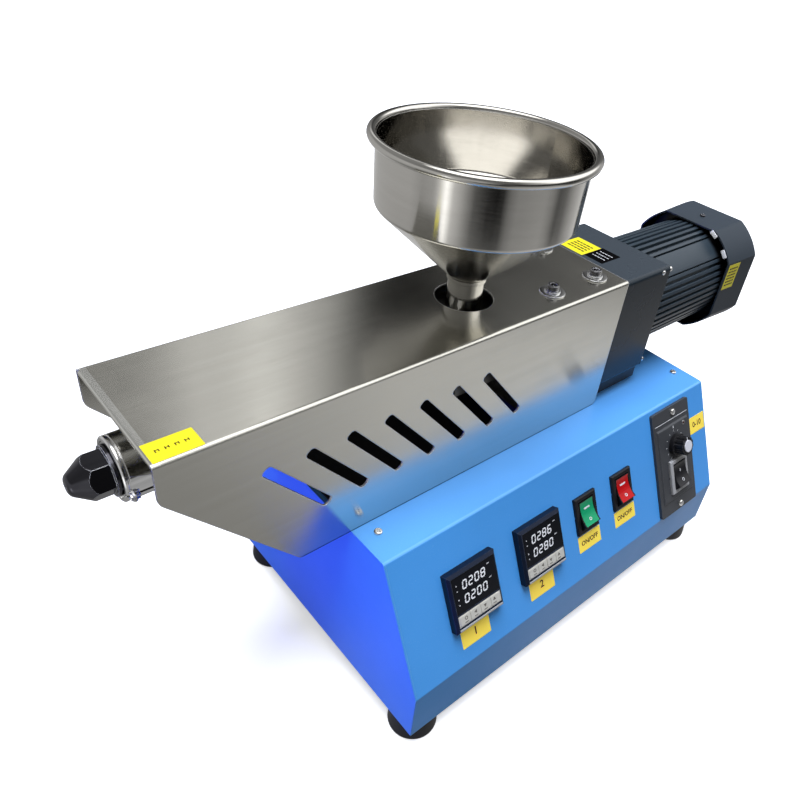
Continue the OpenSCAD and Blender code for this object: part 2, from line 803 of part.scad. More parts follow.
module barrel_cover() {
    w = cover_width / 2;
    t = cover_sheet;
    zt = top_z + cover_height;
    ro = cover_bend + t;
    u = [[axis_y - w, top_z], [axis_y - w, zt], [axis_y + w, zt], [axis_y + w, top_z],
        [axis_y + w - t, top_z], [axis_y + w - t, zt - t], [axis_y - w + t, zt - t], [axis_y - w + t, top_z]];
    c = cover_corners;
    side = [[-cover_overhang, cover_height + 1], [-cover_overhang, cover_height - cover_lip],
        [-cover_slant_end, 0], [cover_end, 0], [cover_end, cover_height + 1]];
    color(steel)
        difference() {
            union() {
                difference() {
                    intersection() {
                        along_x(left_x - cover_overhang - 1, cover_length + 2)
                            polygon(soften(u, [0, ro, ro, 0, 0, cover_bend, cover_bend, 0]));
                        translate([left_x, axis_y + w + 1, top_z])
                            rotate([90, 0, 0])
                                linear_extrude(height = cover_width + 2)
                                    polygon(soften(side, [0, c[0], c[1], c[2], 0]));
                    }
                    translate([left_x - cover_overhang - 1, axis_y - w + ro, zt - 2 * hem_r])
                        cube([hem_r + 1, cover_width - 2 * ro, 2 * hem_r + 1]);
                }
                cover_hem(cover_width - 2 * ro);
            }
            for (i = [0 : slot_count - 1])
                translate([left_x + slot_start + slot_pitch * i, axis_y + w + 1, top_z + slot_mid])
                    rotate([90, 0, 0])
                        linear_extrude(height = cover_width + 2)
                            rotate(-slot_angle)
                                vent_slot();
            translate([left_x + hopper_x, axis_y, zt - 10])
                cylinder(d = hopper_hole_d, h = 20);
            for (x = cover_bolt_back, y = [-cover_bolt_y, cover_bolt_y])
                translate([left_x + cover_end - x, axis_y + y, zt - 10])
                    cylinder(d = cover_bolt_d, h = 20, $fn = 32);
        }
}

module feed_hopper() {
    t = hopper_wall;
    n = hopper_neck_r;
    lift = t * 0.4;
    q = [[n, cone_low_z - hopper_collar], [n + t, cone_low_z - hopper_collar], [n + t, cone_low_z],
        [hopper_low_r, cone_high_z], [hopper_bowl_r, rim_z], [hopper_bowl_r - t, rim_z],
        [hopper_low_r - t, cone_high_z + lift], [n, cone_low_z + lift]];
    color(steel)
        translate([left_x + hopper_x, axis_y, 0])
            rotate_extrude($fn = 96)
                union() {
                    polygon(soften(q, [0, 0, hopper_throat, hopper_bend, 0, 0, hopper_bend - t, 0], 6));
                    translate([hopper_rim_r - hopper_bead_r, rim_z])
                        circle(r = hopper_bead_r, $fn = 32);
                }
}

module hopper_neck() {
    h = cone_low_z - seat_z;
    color(steel)
        translate([left_x + hopper_x, axis_y, seat_z])
            difference() {
                cylinder(r = hopper_neck_r, h = h);
                translate([0, 0, -1])
                    cylinder(r = hopper_neck_r - hopper_wall, h = h + 2);
            }
}

module insulation_mat() {
    x1 = feed_end + mat_ends[1];
    w = cover_width - 2 * (cover_sheet + mat_gap);
    color(black)
        translate([left_x + mat_ends[0], axis_y - w / 2, top_z])
            cube([x1 - mat_ends[0], w, mat_thickness]);
}

module controller_case(u) {
    color(black)
        on_panel(u, case_v)
            difference() {
                union() {
                    bevel_slab(case_size, case_size, case_out, case_bevel);
                    centred_box(case_body, case_body, -case_depth, 1);
                }
                translate([0, display_y, 0])
                    centred_box(display_w, display_h, case_out - display_t, case_out + 1);
                translate([0, keys_y, 0])
                    centred_box(display_w, keys_h, case_out - display_t, case_out + 1);
            }
}

module controller_display(u) {
    color([0.02, 0.02, 0.03])
        on_panel(u, case_v)
            translate([0, display_y, 0])
                centred_box(display_w, display_h, case_out - display_t, case_out - display_back);
}

module controller_keys(u) {
    color([0.75, 0.73, 0.66])
        on_panel(u, case_v) {
            translate([0, keys_y, 0])
                centred_box(display_w, keys_h, case_out - display_t, case_out - strip_back);
            for (i = [-1.5 : 1 : 1.5])
                translate([key_pitch * i, keys_y, 0])
                    rounded_plate(key_pitch - key_gap, keys_h - 2 * key_edge, key_corner,
                        case_out - display_t / 2, case_out + key_out);
        }
}

module left_controller_case() {
    controller_case(case_x[0]);
}

module left_controller_display() {
    controller_display(case_x[0]);
}

module left_controller_keys() {
    controller_keys(case_x[0]);
}

module right_controller_case() {
    controller_case(case_x[1]);
}

module right_controller_display() {
    controller_display(case_x[1]);
}

module right_controller_keys() {
    controller_keys(case_x[1]);
}

// A switch bezel with its housing, pocket and pin bores, its seat at z0
module switch_frame(w, h, rw, rr, z0) {
    difference() {
        union() {
            translate([0, 0, z0])
                bevel_slab(w, h, switch_t, switch_bevel);
            centred_box(rw + 2 * (rocker_gap + switch_wall), 2 * (rr + rocker_gap + switch_wall),
                z0 - switch_depth, z0 + 1);
        }
        centred_box(rw + 2 * rocker_gap, 2 * (rr + rocker_gap), z0 - switch_depth + 2, z0 + 10);
        translate([0, 0, z0 - pin_depth])
            rotate([0, 90, 0])
                cylinder(d = pin_d + 2 * pin_clear, h = rw + 20, center = true, $fn = 32);
    }
}

function rocker_points(rr) =
    let (up = rocker_up, down = rocker_down, dip = rr * sin(up) - rocker_dip)
    concat(
        [for (i = [0 : 6]) rr * [cos(-down + (up + down) * i / 6), sin(-down + (up + down) * i / 6)]],
        [for (i = [1 : 7]) let (s = 1 - i / 4)
            [rr * cos(up) * s, dip + (rr * sin(up) - dip) * s * s]],
        [for (i = [0 : 6]) rr * [-cos(up - (up + down) * i / 6), sin(up - (up + down) * i / 6)]]);

// A rocker on its two pins, its lower end out
module rocker(rw, rr, z0) {
    translate([0, 0, z0 - pin_depth])
        rotate([-rocker_tilt, 0, 0]) {
            translate([-rw / 2, 0, 0])
                rotate([90, 0, 90])
                    linear_extrude(height = rw)
                        polygon(rocker_points(rr));
            rotate([0, 90, 0])
                cylinder(d = pin_d, h = rw + 2 * (rocker_gap + switch_wall) - 0.4, center = true, $fn = 32);
        }
}

module green_switch_frame() {
    color(black)
        on_panel(switch_x[0], switch_v)
            switch_frame(switch_w, switch_h, rocker_w, rocker_r, 0);
}

module green_rocker() {
    color([0.05, 0.6, 0.3])
        on_panel(switch_x[0], switch_v)
            rocker(rocker_w, rocker_r, 0);
}

module red_switch_frame() {
    color(black)
        on_panel(switch_x[1], switch_v)
            switch_frame(switch_w, switch_h, rocker_w, rocker_r, 0);
}

module red_rocker() {
    color([0.85, 0.08, 0.08])
        on_panel(switch_x[1], switch_v)
            rocker(rocker_w, rocker_r, 0);
}

module speed_plate() {
    ft = speed_t + field_t;
    color(grey)
        difference() {
            union() {
                on_panel(speed_x, speed_v)
                    rounded_plate(speed_w, speed_h, speed_corner, 0, speed_t);
                on_panel(speed_x, speed_v)
                    centred_box(speed_body_w, speed_body_h, -speed_depth, 1);
                on_panel(speed_x, speed_v + field_down)
                    bevel_slab(speed_w - 2 * speed_border, field_h, ft, field_t);
            }
            on_panel(speed_x, run_v)
                centred_box(rocker_w + 2 * (rocker_gap + switch_wall),
                    2 * (rocker_r + rocker_gap + switch_wall), -speed_depth - 1, ft + 1);
            on_panel(speed_x + knob_u, knob_v)
                translate([0, 0, ft - shaft_length - 2])
                    cylinder(d = shaft_d + 2 * shaft_clear, h = shaft_length + 3);
        }
}

module run_switch_frame() {
    color(silver)
        on_panel(speed_x, run_v)
            switch_frame(switch_w, switch_h, rocker_w, rocker_r, speed_t + field_t);
}

module run_rocker() {
    color(black)
        on_panel(speed_x, run_v)
            rocker(rocker_w, rocker_r, speed_t + field_t);
}

module speed_knob() {
    z0 = speed_t + field_t + knob_gap;
    color(black)
        on_panel(speed_x + knob_u, knob_v) {
            translate([0, 0, z0])
                cylinder(d = knob_d, h = knob_foot);
            translate([0, 0, z0 + knob_foot - 1])
                difference() {
                    cylinder(d = grip_d, h = knob_h - knob_foot + 1);
                    for (i = [0 : flute_count - 1])
                        rotate(360 / flute_count * i)
                            translate([grip_d / 2 + flute_out, 0, 1])
                                cylinder(d = flute_d, h = knob_h, $fn = 16);
                }
            translate([0, 0, z0 - knob_gap - shaft_length])
                cylinder(d = shaft_d, h = shaft_length + knob_gap + 1);
        }
}

module knob_cap() {
    color(silver)
        on_panel(speed_x + knob_u, knob_v)
            translate([0, 0, speed_t + field_t + knob_gap + knob_h])
                cylinder(d = cap_d, h = cap_t);
}

module cord_grommet() {
    t = cabinet_sheet;
    color(black)
        translate([left_x + cabinet_length - grommet_x, edge_y + back_y, foot_height + grommet_z])
            rotate([-90, 0, 0]) {
                cylinder(d1 = grommet_d, d2 = grommet_d - 2 * grommet_slope, h = grommet_lip);
                cylinder(d = sleeve_d, h = grommet_out);
                translate([0, 0, -t - 1])
                    cylinder(d = grommet_hole_d - 2 * seat_fit, h = t + 2);
                translate([0, 0, -t - grommet_lip])
                    cylinder(d = grommet_d, h = grommet_lip);
            }
}

cabinet_hood();
left_side_panel();
right_side_panel();
floor_plate();
rubber_feet();
mounting_plate();
gearbox();
motor_body();
fan_cover();
thrust_block();
feed_block();
barrel();
front_heater_band();
rear_heater_band();
nozzle();
barrel_cover();
feed_hopper();
hopper_neck();
insulation_mat();
left_controller_case();
left_controller_display();
left_controller_keys();
right_controller_case();
right_controller_display();
right_controller_keys();
green_switch_frame();
green_rocker();
red_switch_frame();
red_rocker();
speed_plate();
run_switch_frame();
run_rocker();
speed_knob();
knob_cap();
cord_grommet();
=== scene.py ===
import json
import math

import bmesh
import bpy
from mathutils import Matrix, Vector


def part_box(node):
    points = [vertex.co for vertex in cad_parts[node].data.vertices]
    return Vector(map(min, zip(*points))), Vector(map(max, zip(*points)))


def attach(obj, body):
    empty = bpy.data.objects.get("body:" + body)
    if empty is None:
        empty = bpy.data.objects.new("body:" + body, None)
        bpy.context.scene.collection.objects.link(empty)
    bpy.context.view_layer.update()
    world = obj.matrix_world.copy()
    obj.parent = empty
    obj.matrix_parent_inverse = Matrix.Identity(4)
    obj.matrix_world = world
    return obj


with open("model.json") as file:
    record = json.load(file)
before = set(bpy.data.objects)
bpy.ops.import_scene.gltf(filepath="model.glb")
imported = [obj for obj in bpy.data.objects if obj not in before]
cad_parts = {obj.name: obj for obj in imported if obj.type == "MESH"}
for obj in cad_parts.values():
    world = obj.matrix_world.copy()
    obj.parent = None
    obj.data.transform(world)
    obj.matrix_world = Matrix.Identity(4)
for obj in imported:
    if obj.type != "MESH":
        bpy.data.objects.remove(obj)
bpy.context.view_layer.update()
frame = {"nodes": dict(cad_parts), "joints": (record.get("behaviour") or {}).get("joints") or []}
nodes = frame["nodes"]
joints = {joint["name"]: joint for joint in frame["joints"]}
scene = bpy.context.scene
scene.view_settings.view_transform = "Standard"
mm = 0.001
print("frame loaded:", len(nodes), "nodes")


# Places taken from the frame

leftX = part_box("left_side_panel")[0].x
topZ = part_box("cabinet_hood")[1].z
coverLow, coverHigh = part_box("barrel_cover")
gearLow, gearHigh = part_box("gearbox")
fanLow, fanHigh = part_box("fan_cover")
bandLow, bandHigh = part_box("front_heater_band")
hopperLow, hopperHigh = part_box("feed_hopper")
axisY = (coverLow.y + coverHigh.y) / 2
motorZ = (gearLow.z + gearHigh.z) / 2
barrelZ = (bandLow.z + bandHigh.z) / 2
hopperX = (hopperLow.x + hopperHigh.x) / 2

panelOut = Vector(joints["speed_knob_turn"]["axis"]).normalized()
panelRight = Vector((1, 0, 0))
panelUp = panelOut.cross(panelRight)
pinDepth = 1 * mm
panelFace = Vector(joints["green_rocker_tilt"]["pos_m"]) + panelOut * pinDepth
panelEdge = panelFace + panelUp * ((topZ - panelFace.z) / panelUp.z)
panelCorner = Vector((leftX, panelEdge.y, panelEdge.z))


def onPanel(u, v, out=0.0):  # u from the left end, v down the slope, in millimetres
    way = panelRight * u * mm - panelUp * v * mm + panelOut * out * mm
    turn = Matrix((panelRight, panelUp, panelOut)).transposed().to_4x4()
    return Matrix.Translation(panelCorner + way) @ turn


def panelPlace(point):  # u, v and the height over the panel of a point, in millimetres
    way = Vector(point) - panelCorner
    return way.x / mm, -way.dot(panelUp) / mm, way.dot(panelOut) / mm


def facing(spot, out, up):  # a place whose Z looks along out and whose Y looks along up
    z = Vector(out).normalized()
    x = Vector(up).cross(z).normalized()
    y = z.cross(x)
    return Matrix.Translation(spot) @ Matrix((x, y, z)).transposed().to_4x4()


# Camera

cameraSet = {
    "place": (-0.3783, -0.3204, 0.5517),
    "turn": (53.557, -6.696, -41.605),
    "sensor": 36,
    "lens": 32.68,
    "shift": (-0.0652, -0.0057),
    "clip": (0.01, 50),
}


def addCamera():
    turn = [math.radians(a) for a in cameraSet["turn"]]
    bpy.ops.object.camera_add(location=cameraSet["place"], rotation=turn)
    camera = bpy.context.object
    camera.name = "photoCamera"
    camera.data.sensor_width = cameraSet["sensor"]
    camera.data.lens = cameraSet["lens"]
    camera.data.shift_x, camera.data.shift_y = cameraSet["shift"]
    camera.data.clip_start, camera.data.clip_end = cameraSet["clip"]
    scene.camera = camera


addCamera()
print("camera set")


# Shader steps

def setInputs(tree, node, inputs):  # each input takes a value or the output of another node
    for key, value in inputs.items():
        if isinstance(value, bpy.types.NodeSocket):
            tree.links.new(value, node.inputs[key])
        else:
            node.inputs[key].default_value = value


def addNode(tree, kind, inputs, **settings):
    node = tree.nodes.new("ShaderNode" + kind)
    for name, value in settings.items():
        setattr(node, name, value)
    setInputs(tree, node, inputs)
    return node


def addMath(tree, operation, first, second=0.0, clamp=False):
    return addNode(tree, "Math", {0: first, 1: second}, operation=operation, use_clamp=clamp).outputs[0]


def addProduct(tree, first, second):
    return addMath(tree, "MULTIPLY", first, second)


def addReach(tree, first, second):  # the length of the long side over two short ones
    squares = addMath(tree, "ADD", addProduct(tree, first, first), addProduct(tree, second, second))
    return addMath(tree, "SQRT", squares)


def addNoise(tree, vector, scale, detail=3.0, rough=0.55):
    inputs = {"Vector": vector, "Scale": scale, "Detail": detail, "Roughness": rough}
    return addNode(tree, "TexNoise", inputs).outputs["Fac"]


def addMapping(tree, vector, scale=(1, 1, 1), place=(0, 0, 0)):
    inputs = {"Vector": vector, "Scale": scale, "Location": place}
    return addNode(tree, "Mapping", inputs).outputs["Vector"]


def addSplit(tree, vector):
    split = addNode(tree, "SeparateXYZ", {0: vector})
    return split.outputs["X"], split.outputs["Y"], split.outputs["Z"]


def addRange(tree, value, low, high, toLow=0.0, toHigh=1.0, curve="LINEAR"):
    inputs = {"Value": value, "From Min": low, "From Max": high, "To Min": toLow, "To Max": toHigh}
    return addNode(tree, "MapRange", inputs, interpolation_type=curve).outputs["Result"]


def addWithin(tree, value, half, soft):  # 1 where a value lies within half of zero
    return addRange(tree, addMath(tree, "ABSOLUTE", value), half + soft, half)


def addDot(tree, first, second):
    return addNode(tree, "VectorMath", {0: first, 1: second}, operation="DOT_PRODUCT").outputs["Value"]


def addMix(tree, factor, first, second):
    first, second = [(*color, 1) if isinstance(color, tuple) else color for color in (first, second)]
    return addNode(tree, "Mix", {"Factor": factor, 6: first, 7: second}, data_type="RGBA").outputs[2]


def addBump(tree, height, strength, distance, normal):
    inputs = {"Height": height, "Strength": strength, "Distance": distance, "Normal": normal}
    return addNode(tree, "Bump", inputs).outputs["Normal"]


# Studio: a pale floor, soft light from above, and surroundings that only gloss sees

studioSet = {
    "floor": 14.0,
    "floorLow": -0.0002,
    "floorColor": (0.97, 0.97, 0.96),  # what the camera sees
    "floorBounce": (0.10, 0.10, 0.11),  # what lights the sides from below
    "floorLift": (0.55, 0.55, 0.55),  # keeps the shadow on the paper faint
    "floorRough": 0.95,
    "backdrop": 1.05,
    "sunStrength": 3.40,
    "sunColor": (0.96, 1.0, 1.14),
    "sunFrom": (-0.10, -0.05, 1.0),
    "sunAngle": 36,
    "sideStrength": 2.7,  # a blue fill that reaches the left side alone
    "sideColor": (0.03, 0.06, 1.0),
    "sideFrom": (-1.0, 0.12, 0.0),
    "sideAngle": 2,
    "ambient": 0.22,
    "ambientTint": (0.97, 0.98, 1.0),
    "near": (0.55, 0.85),  # metres from the hopper's axis where the near floor gives way to the far floor
    "rim": (1.3, 1.8),  # and where the far floor gives way to the horizon
    "low": (0.20, 0.40),  # the height where the horizon gives way to the sky
    "high": (0.86, 0.93),  # and the sky to the ceiling
    "overhead": (1.4, 1.4, 1.4),
    "greyTop": 2,  # a ramp holds greys up to 1, so they are halved there and doubled by the light
}

skyTurns = [  # degrees round the machine and the grey that gloss sees above the horizon there
    (-180, 0.22), (-100, 0.18), (-72, 0.7), (-55, 1.9), (8, 1.9), (20, 0.34), (33, 0.12), (38, 0.10),
    (46, 0.03), (49, 0.01), (52, 0.03), (53, 0.09), (54.5, 0.36), (56, 0.66), (59, 0.75), (60, 0.88),
    (61.3, 1.45), (63, 0.88), (65, 0.68), (66.5, 0.68), (67.8, 0.92), (69, 0.60), (71, 0.36), (73, 0.29),
    (100, 0.32), (140, 0.28), (180, 0.22),
]
farTurns = [  # the same on the floor far from the machine
    (-180, 0.56), (-175, 0.9), (-168, 2.0), (-161, 0.82), (-153, 0.56), (-146, 0.31), (-139, 0.11),
    (-125, 0.02), (-118, 0.01), (-111, 0.03), (-104, 0.21), (-96, 0.32), (-65, 0.40), (-56, 0.30),
    (-47, 0.11), (-37, 0.17), (-25, 0.40), (-12, 0.6), (10, 0.9), (84, 0.52), (151, 0.52), (165, 0.42),
    (177, 0.48), (180, 0.56),
]
horizonTurns = [  # along the horizon, dark in front of the panel
    (-180, 0.6), (-135, 0.5), (-115, 0.10), (-100, 0.05), (-40, 0.05), (-20, 0.3), (10, 0.5), (22, 0.15),
    (52, 0.10), (70, 0.3), (90, 0.5), (180, 0.6),
]
nearTurns = [  # and on the floor close to the machine
    (-180, 0.3), (-165, 0.45), (-135, 0.36), (-115, 0.32), (-98, 0.46), (-63, 0.66), (-40, 0.72),
    (-28, 0.76), (0, 0.8), (90, 0.5), (135, 0.25), (180, 0.3),
]


def addRays(tree):
    path = addNode(tree, "LightPath", {}).outputs
    gloss = addMath(tree, "ADD", path["Is Glossy Ray"], path["Is Transmission Ray"], True)
    return path["Is Camera Ray"], gloss


def addTurns(tree, x, y, turns):  # a grey that depends on the way round the upright axis
    angle = addRange(tree, addMath(tree, "ARCTAN2", y, x), -math.pi, math.pi)
    ramp = addNode(tree, "ValToRGB", {"Fac": angle})
    stops = ramp.color_ramp.elements
    while len(stops) < len(turns):
        stops.new(0.5)
    for stop, (degrees, grey) in zip(stops, turns):
        stop.position = (degrees + 180) / 360
        stop.color = (*[grey / studioSet["greyTop"]] * 3, 1)
    return ramp.outputs["Color"]


def addFloor():
    bpy.ops.mesh.primitive_plane_add(size=studioSet["floor"], location=(0, 0, studioSet["floorLow"]))
    floor = bpy.context.object
    floor.name = "studioFloor"
    paper = bpy.data.materials.new("studioPaper")
    paper.use_nodes = True
    tree = paper.node_tree
    shader = tree.nodes["Principled BSDF"]
    camera, gloss = addRays(tree)
    setInputs(tree, shader, {
        "Base Color": addMix(tree, camera, studioSet["floorBounce"], studioSet["floorColor"]),
        "Roughness": studioSet["floorRough"],
        "Specular IOR Level": 0.0,
        "Emission Color": addMix(tree, camera, (0.0, 0.0, 0.0), studioSet["floorLift"]),
        "Emission Strength": 1.0,
    })
    spot = addNode(tree, "TexCoord", {}).outputs["Object"]
    spot = addMapping(tree, spot, place=(-hopperX, -axisY, 0))
    reach = addNode(tree, "VectorMath", {0: spot}, operation="LENGTH").outputs["Value"]
    x, y = addSplit(tree, spot)[:2]
    ground = addTurns(tree, x, y, nearTurns)
    for span, turns in (("near", farTurns), ("rim", horizonTurns)):
        ground = addMix(tree, addRange(tree, reach, *studioSet[span]), ground, addTurns(tree, x, y, turns))
    ledAndPaintedGlow = addNode(tree, "Emission", {"Color": ground, "Strength": studioSet["greyTop"]})
    mix = addNode(tree, "MixShader", {"Fac": gloss, 1: shader.outputs[0], 2: ledAndPaintedGlow.outputs[0]})
    tree.links.new(mix.outputs[0], tree.nodes["Material Output"].inputs["Surface"])
    floor.data.materials.append(paper)


def addSun(name, kind):
    way = Vector(studioSet[kind + "From"])
    bpy.ops.object.light_add(type="SUN", rotation=way.to_track_quat("Z", "Y").to_euler())
    sun = bpy.context.object
    sun.name = name
    sun.data.energy = studioSet[kind + "Strength"]
    sun.data.angle = math.radians(studioSet[kind + "Angle"])
    sun.data.color = studioSet[kind + "Color"]
    sun.visible_glossy = False


def setWorld():
    world = bpy.data.worlds.new("studioAir")
    scene.world = world
    world.use_nodes = True
    tree = world.node_tree
    tree.nodes.clear()
    camera, gloss = addRays(tree)
    x, y, z = addSplit(tree, addNode(tree, "TexCoord", {}).outputs["Generated"])
    sky = addTurns(tree, x, y, horizonTurns)
    for span, light in (("low", addTurns(tree, x, y, skyTurns)), ("high", studioSet["overhead"])):
        sky = addMix(tree, addRange(tree, z, *studioSet[span], curve="SMOOTHSTEP"), sky, light)
    studio, fill, paper = [
        addNode(tree, "Background", {"Color": color, "Strength": strength}).outputs[0]
        for color, strength in (
            (sky, studioSet["greyTop"]),
            ((*studioSet["ambientTint"], 1), studioSet["ambient"]),
            ((*studioSet["floorColor"], 1), studioSet["backdrop"]),
        )
    ]
    inner = addNode(tree, "MixShader", {"Fac": gloss, 1: fill, 2: studio}).outputs[0]
    outer = addNode(tree, "MixShader", {"Fac": camera, 1: inner, 2: paper}).outputs[0]
    addNode(tree, "OutputWorld", {"Surface": outer})


addFloor()
addSun("overheadLight", "sun")
addSun("sideFill", "side")
setWorld()
print("studio lit")


# Shader groups for effects that several finishes share

coatSet = {
    "peelScale": 420.0, "mottleScale": 9.0, "mottleSpan": (0.3, 0.7),
    "speckScale": 1500.0, "speckSpan": (0.66, 0.74),
}
edgeSet = {
    "radius": 0.7, "samples": 4, "turnSpan": (0.985, 0.80), "breakScale": 90.0, "breakSpan": (0.35, 0.62),
}
brushSet = {
    "fineness": 2400.0, "lineStretch": (0.01, 1, 1), "bandStretch": (0.03, 1, 1), "bandScale": 160.0,
    "smudgeScale": 16.0, "lineSpan": (0.3, 0.7), "smudgeSpan": (0.35, 0.7),
}
spinSet = {"along": 0.6, "across": 0.002}


def newGroup(name, inputs, outputs):  # an input is a label and its value, an output a label and its kind
    group = bpy.data.node_groups.new(name, "ShaderNodeTree")
    for label, value in inputs.items():
        kind = "NodeSocketVector" if isinstance(value, tuple) else "NodeSocketFloat"
        group.interface.new_socket(label, in_out="INPUT", socket_type=kind).default_value = value
    for label, kind in outputs.items():
        group.interface.new_socket(label, in_out="OUTPUT", socket_type="NodeSocket" + kind)
    start = group.nodes.new("NodeGroupInput")
    end = group.nodes.new("NodeGroupOutput")
    return group, start.outputs, end


def makeCoatPeel():  # the fine orange peel and mottle of a sprayed or powder coat
    inputs = {"Vector": (0, 0, 0), "Peel Scale": coatSet["peelScale"]}
    outputs = {"Height": "Float", "Mottle": "Float", "Speck": "Float"}
    group, start, end = newGroup("coatPeel", inputs, outputs)
    mottle = addNoise(group, start["Vector"], coatSet["mottleScale"], 4.0, 0.6)
    speck = addNoise(group, start["Vector"], coatSet["speckScale"], 1.0)
    setInputs(group, end, {
        "Height": addNoise(group, start["Vector"], start["Peel Scale"], 2.0),
        "Mottle": addRange(group, mottle, *coatSet["mottleSpan"]),
        "Speck": addRange(group, speck, *coatSet["speckSpan"]),
    })
    return group


def makeEdgeRub():  # a mask that is 1 along sharp edges and 0 on flat faces, and softly rounded normals
    inputs = {"Vector": (0, 0, 0), "Break": edgeSet["breakScale"], "Radius": edgeSet["radius"] * mm}
    outputs = {"Edge": "Float", "Full": "Float", "Normal": "Vector"}
    group, start, end = newGroup("edgeRub", inputs, outputs)
    soft = addNode(group, "Bevel", {"Radius": start["Radius"]}, samples=edgeSet["samples"]).outputs["Normal"]
    sharp = addNode(group, "NewGeometry", {}).outputs["Normal"]
    edge = addRange(group, addDot(group, soft, sharp), *edgeSet["turnSpan"])
    wear = addNoise(group, start["Vector"], start["Break"], 4.0, 0.7)
    broken = addRange(group, wear, *edgeSet["breakSpan"])
    rubbed = addMath(group, "MULTIPLY", edge, broken, True)
    setInputs(group, end, {"Edge": rubbed, "Full": edge, "Normal": soft})
    return group


def makeBrushing():  # long fine lines along the X of the vector
    inputs = {"Vector": (0, 0, 0), "Fineness": brushSet["fineness"]}
    outputs = {"Lines": "Float", "Bands": "Float", "Smudge": "Float"}
    group, start, end = newGroup("brushing", inputs, outputs)
    lay = addMapping(group, start["Vector"], brushSet["lineStretch"])
    lines = addNoise(group, lay, start["Fineness"], 4.0, 0.6)
    lay = addMapping(group, start["Vector"], brushSet["bandStretch"])
    bands = addNoise(group, lay, brushSet["bandScale"], 3.0)
    smudge = addNoise(group, start["Vector"], brushSet["smudgeScale"], 5.0, 0.6)
    setInputs(group, end, {
        "Lines": addRange(group, lines, *brushSet["lineSpan"]),
        "Bands": addRange(group, bands, *brushSet["lineSpan"]),
        "Smudge": addRange(group, smudge, *brushSet["smudgeSpan"]),
    })
    return group


def makeSpinning():  # turns a place round an upright axis into a place whose X runs round it
    inputs = {"Vector": (0, 0, 0), "Break": spinSet["along"]}
    group, start, end = newGroup("spinning", inputs, {"Vector": "Vector"})
    x, y, z = addSplit(group, start["Vector"])
    reach = addReach(group, x, y)
    along = addProduct(group, addMath(group, "DIVIDE", x, reach), start["Break"])
    across = addProduct(group, addMath(group, "DIVIDE", y, reach), spinSet["across"])
    laid = {"X": along, "Y": addMath(group, "ADD", reach, across), "Z": z}
    setInputs(group, end, {"Vector": addNode(group, "CombineXYZ", laid).outputs[0]})
    return group


coatPeel = makeCoatPeel()
edgeRub = makeEdgeRub()
brushing = makeBrushing()
spinning = makeSpinning()


def useGroup(tree, group, inputs):
    return addNode(tree, "Group", inputs, node_tree=group).outputs


# Finishes: a kind of finish keeps here what all of that kind share

paintSet = {
    "foldHighlightSpan": (0.90, 0.975), "foldHighlightShare": 0.35, "dustAndSheenSpan": (0.90, 1.0), "dustAndSheenColor": (0.60, 0.66, 0.70),
    "darkColor": (0.004, 0.004, 0.005), "glossSpread": 0.05, "deep": 0.3,
}
metalSet = {
    "rubAndHighlightColor": (0.9, 0.9, 0.88), "hemColor": (0.84, 0.84, 0.80), "edgeHighlightColor": (0.92, 0.93, 0.95),
    "footColor": (0.006, 0.012, 0.03), "smooth": 0.02, "coarse": 0.03, "spunTurn": 0.25, "deep": 0.02,
}
plasticSet = {
    "paleShare": 1.10, "paleLift": 0.002, "breakScale": 160.0, "darkColor": (0.006, 0.006, 0.007),
    "smooth": 0.04, "coarse": 0.05, "deep": 0.15,
}


def startFinish(name):
    made = bpy.data.materials.new(name)
    made.use_nodes = True
    tree = made.node_tree
    return made, tree, tree.nodes["Principled BSDF"], addNode(tree, "TexCoord", {}).outputs["Object"]


# the rub colour serves worn edges, specks and the painted highlight where the sheet turns over
def makePaint(name, color, rubAndHighlightColor, rough, peelScale=coatSet["peelScale"], peel=0.08, rub=0.5, mottle=0.08,
              shine=0.5, dark=None, foldHighlight=None, dustAndSheen=0.0, speck=0.2):
    made, tree, shader, vector = startFinish(name)
    coat = useGroup(tree, coatPeel, {"Vector": vector, "Peel Scale": peelScale})
    edge = useGroup(tree, edgeRub, {"Vector": vector})
    deep = tuple(c * (1 - mottle) for c in color)
    body = addMix(tree, coat["Mottle"], color, deep)
    body = addMix(tree, addProduct(tree, coat["Speck"], speck), body, rubAndHighlightColor)
    body = addMix(tree, addProduct(tree, edge["Edge"], rub), body, rubAndHighlightColor)
    if foldHighlight is not None:  # painted highlight: paler where the sheet turns over from the top to the panel, by the way its normal faces
        bendHighlight = addRange(tree, addDot(tree, edge["Normal"], foldHighlight), *paintSet["foldHighlightSpan"])
        body = addMix(tree, addProduct(tree, bendHighlight, paintSet["foldHighlightShare"]), body, rubAndHighlightColor)
    # dusty and painted sheen: upward faces are mixed towards a paler colour, as settled dust and as tops lit
    # more than the sides
    if dustAndSheen > 0:
        upwardDustAndSheen = addRange(tree, addSplit(tree, edge["Normal"])[2], *paintSet["dustAndSheenSpan"], 0.0, dustAndSheen)
        body = addMix(tree, upwardDustAndSheen, body, paintSet["dustAndSheenColor"])
    # painted shade: where a finish has a dark mask, such as inside the fan cover, its colour goes black
    if dark is not None:
        body = addMix(tree, dark(tree, vector), body, paintSet["darkColor"])
    spread = paintSet["glossSpread"]
    setInputs(tree, shader, {
        "Base Color": body,
        "Specular IOR Level": shine,
        "Roughness": addRange(tree, coat["Mottle"], 0, 1, rough - spread, rough + spread),
        "Normal": addBump(tree, coat["Height"], peel, paintSet["deep"] * mm, edge["Normal"]),
    })
    return made


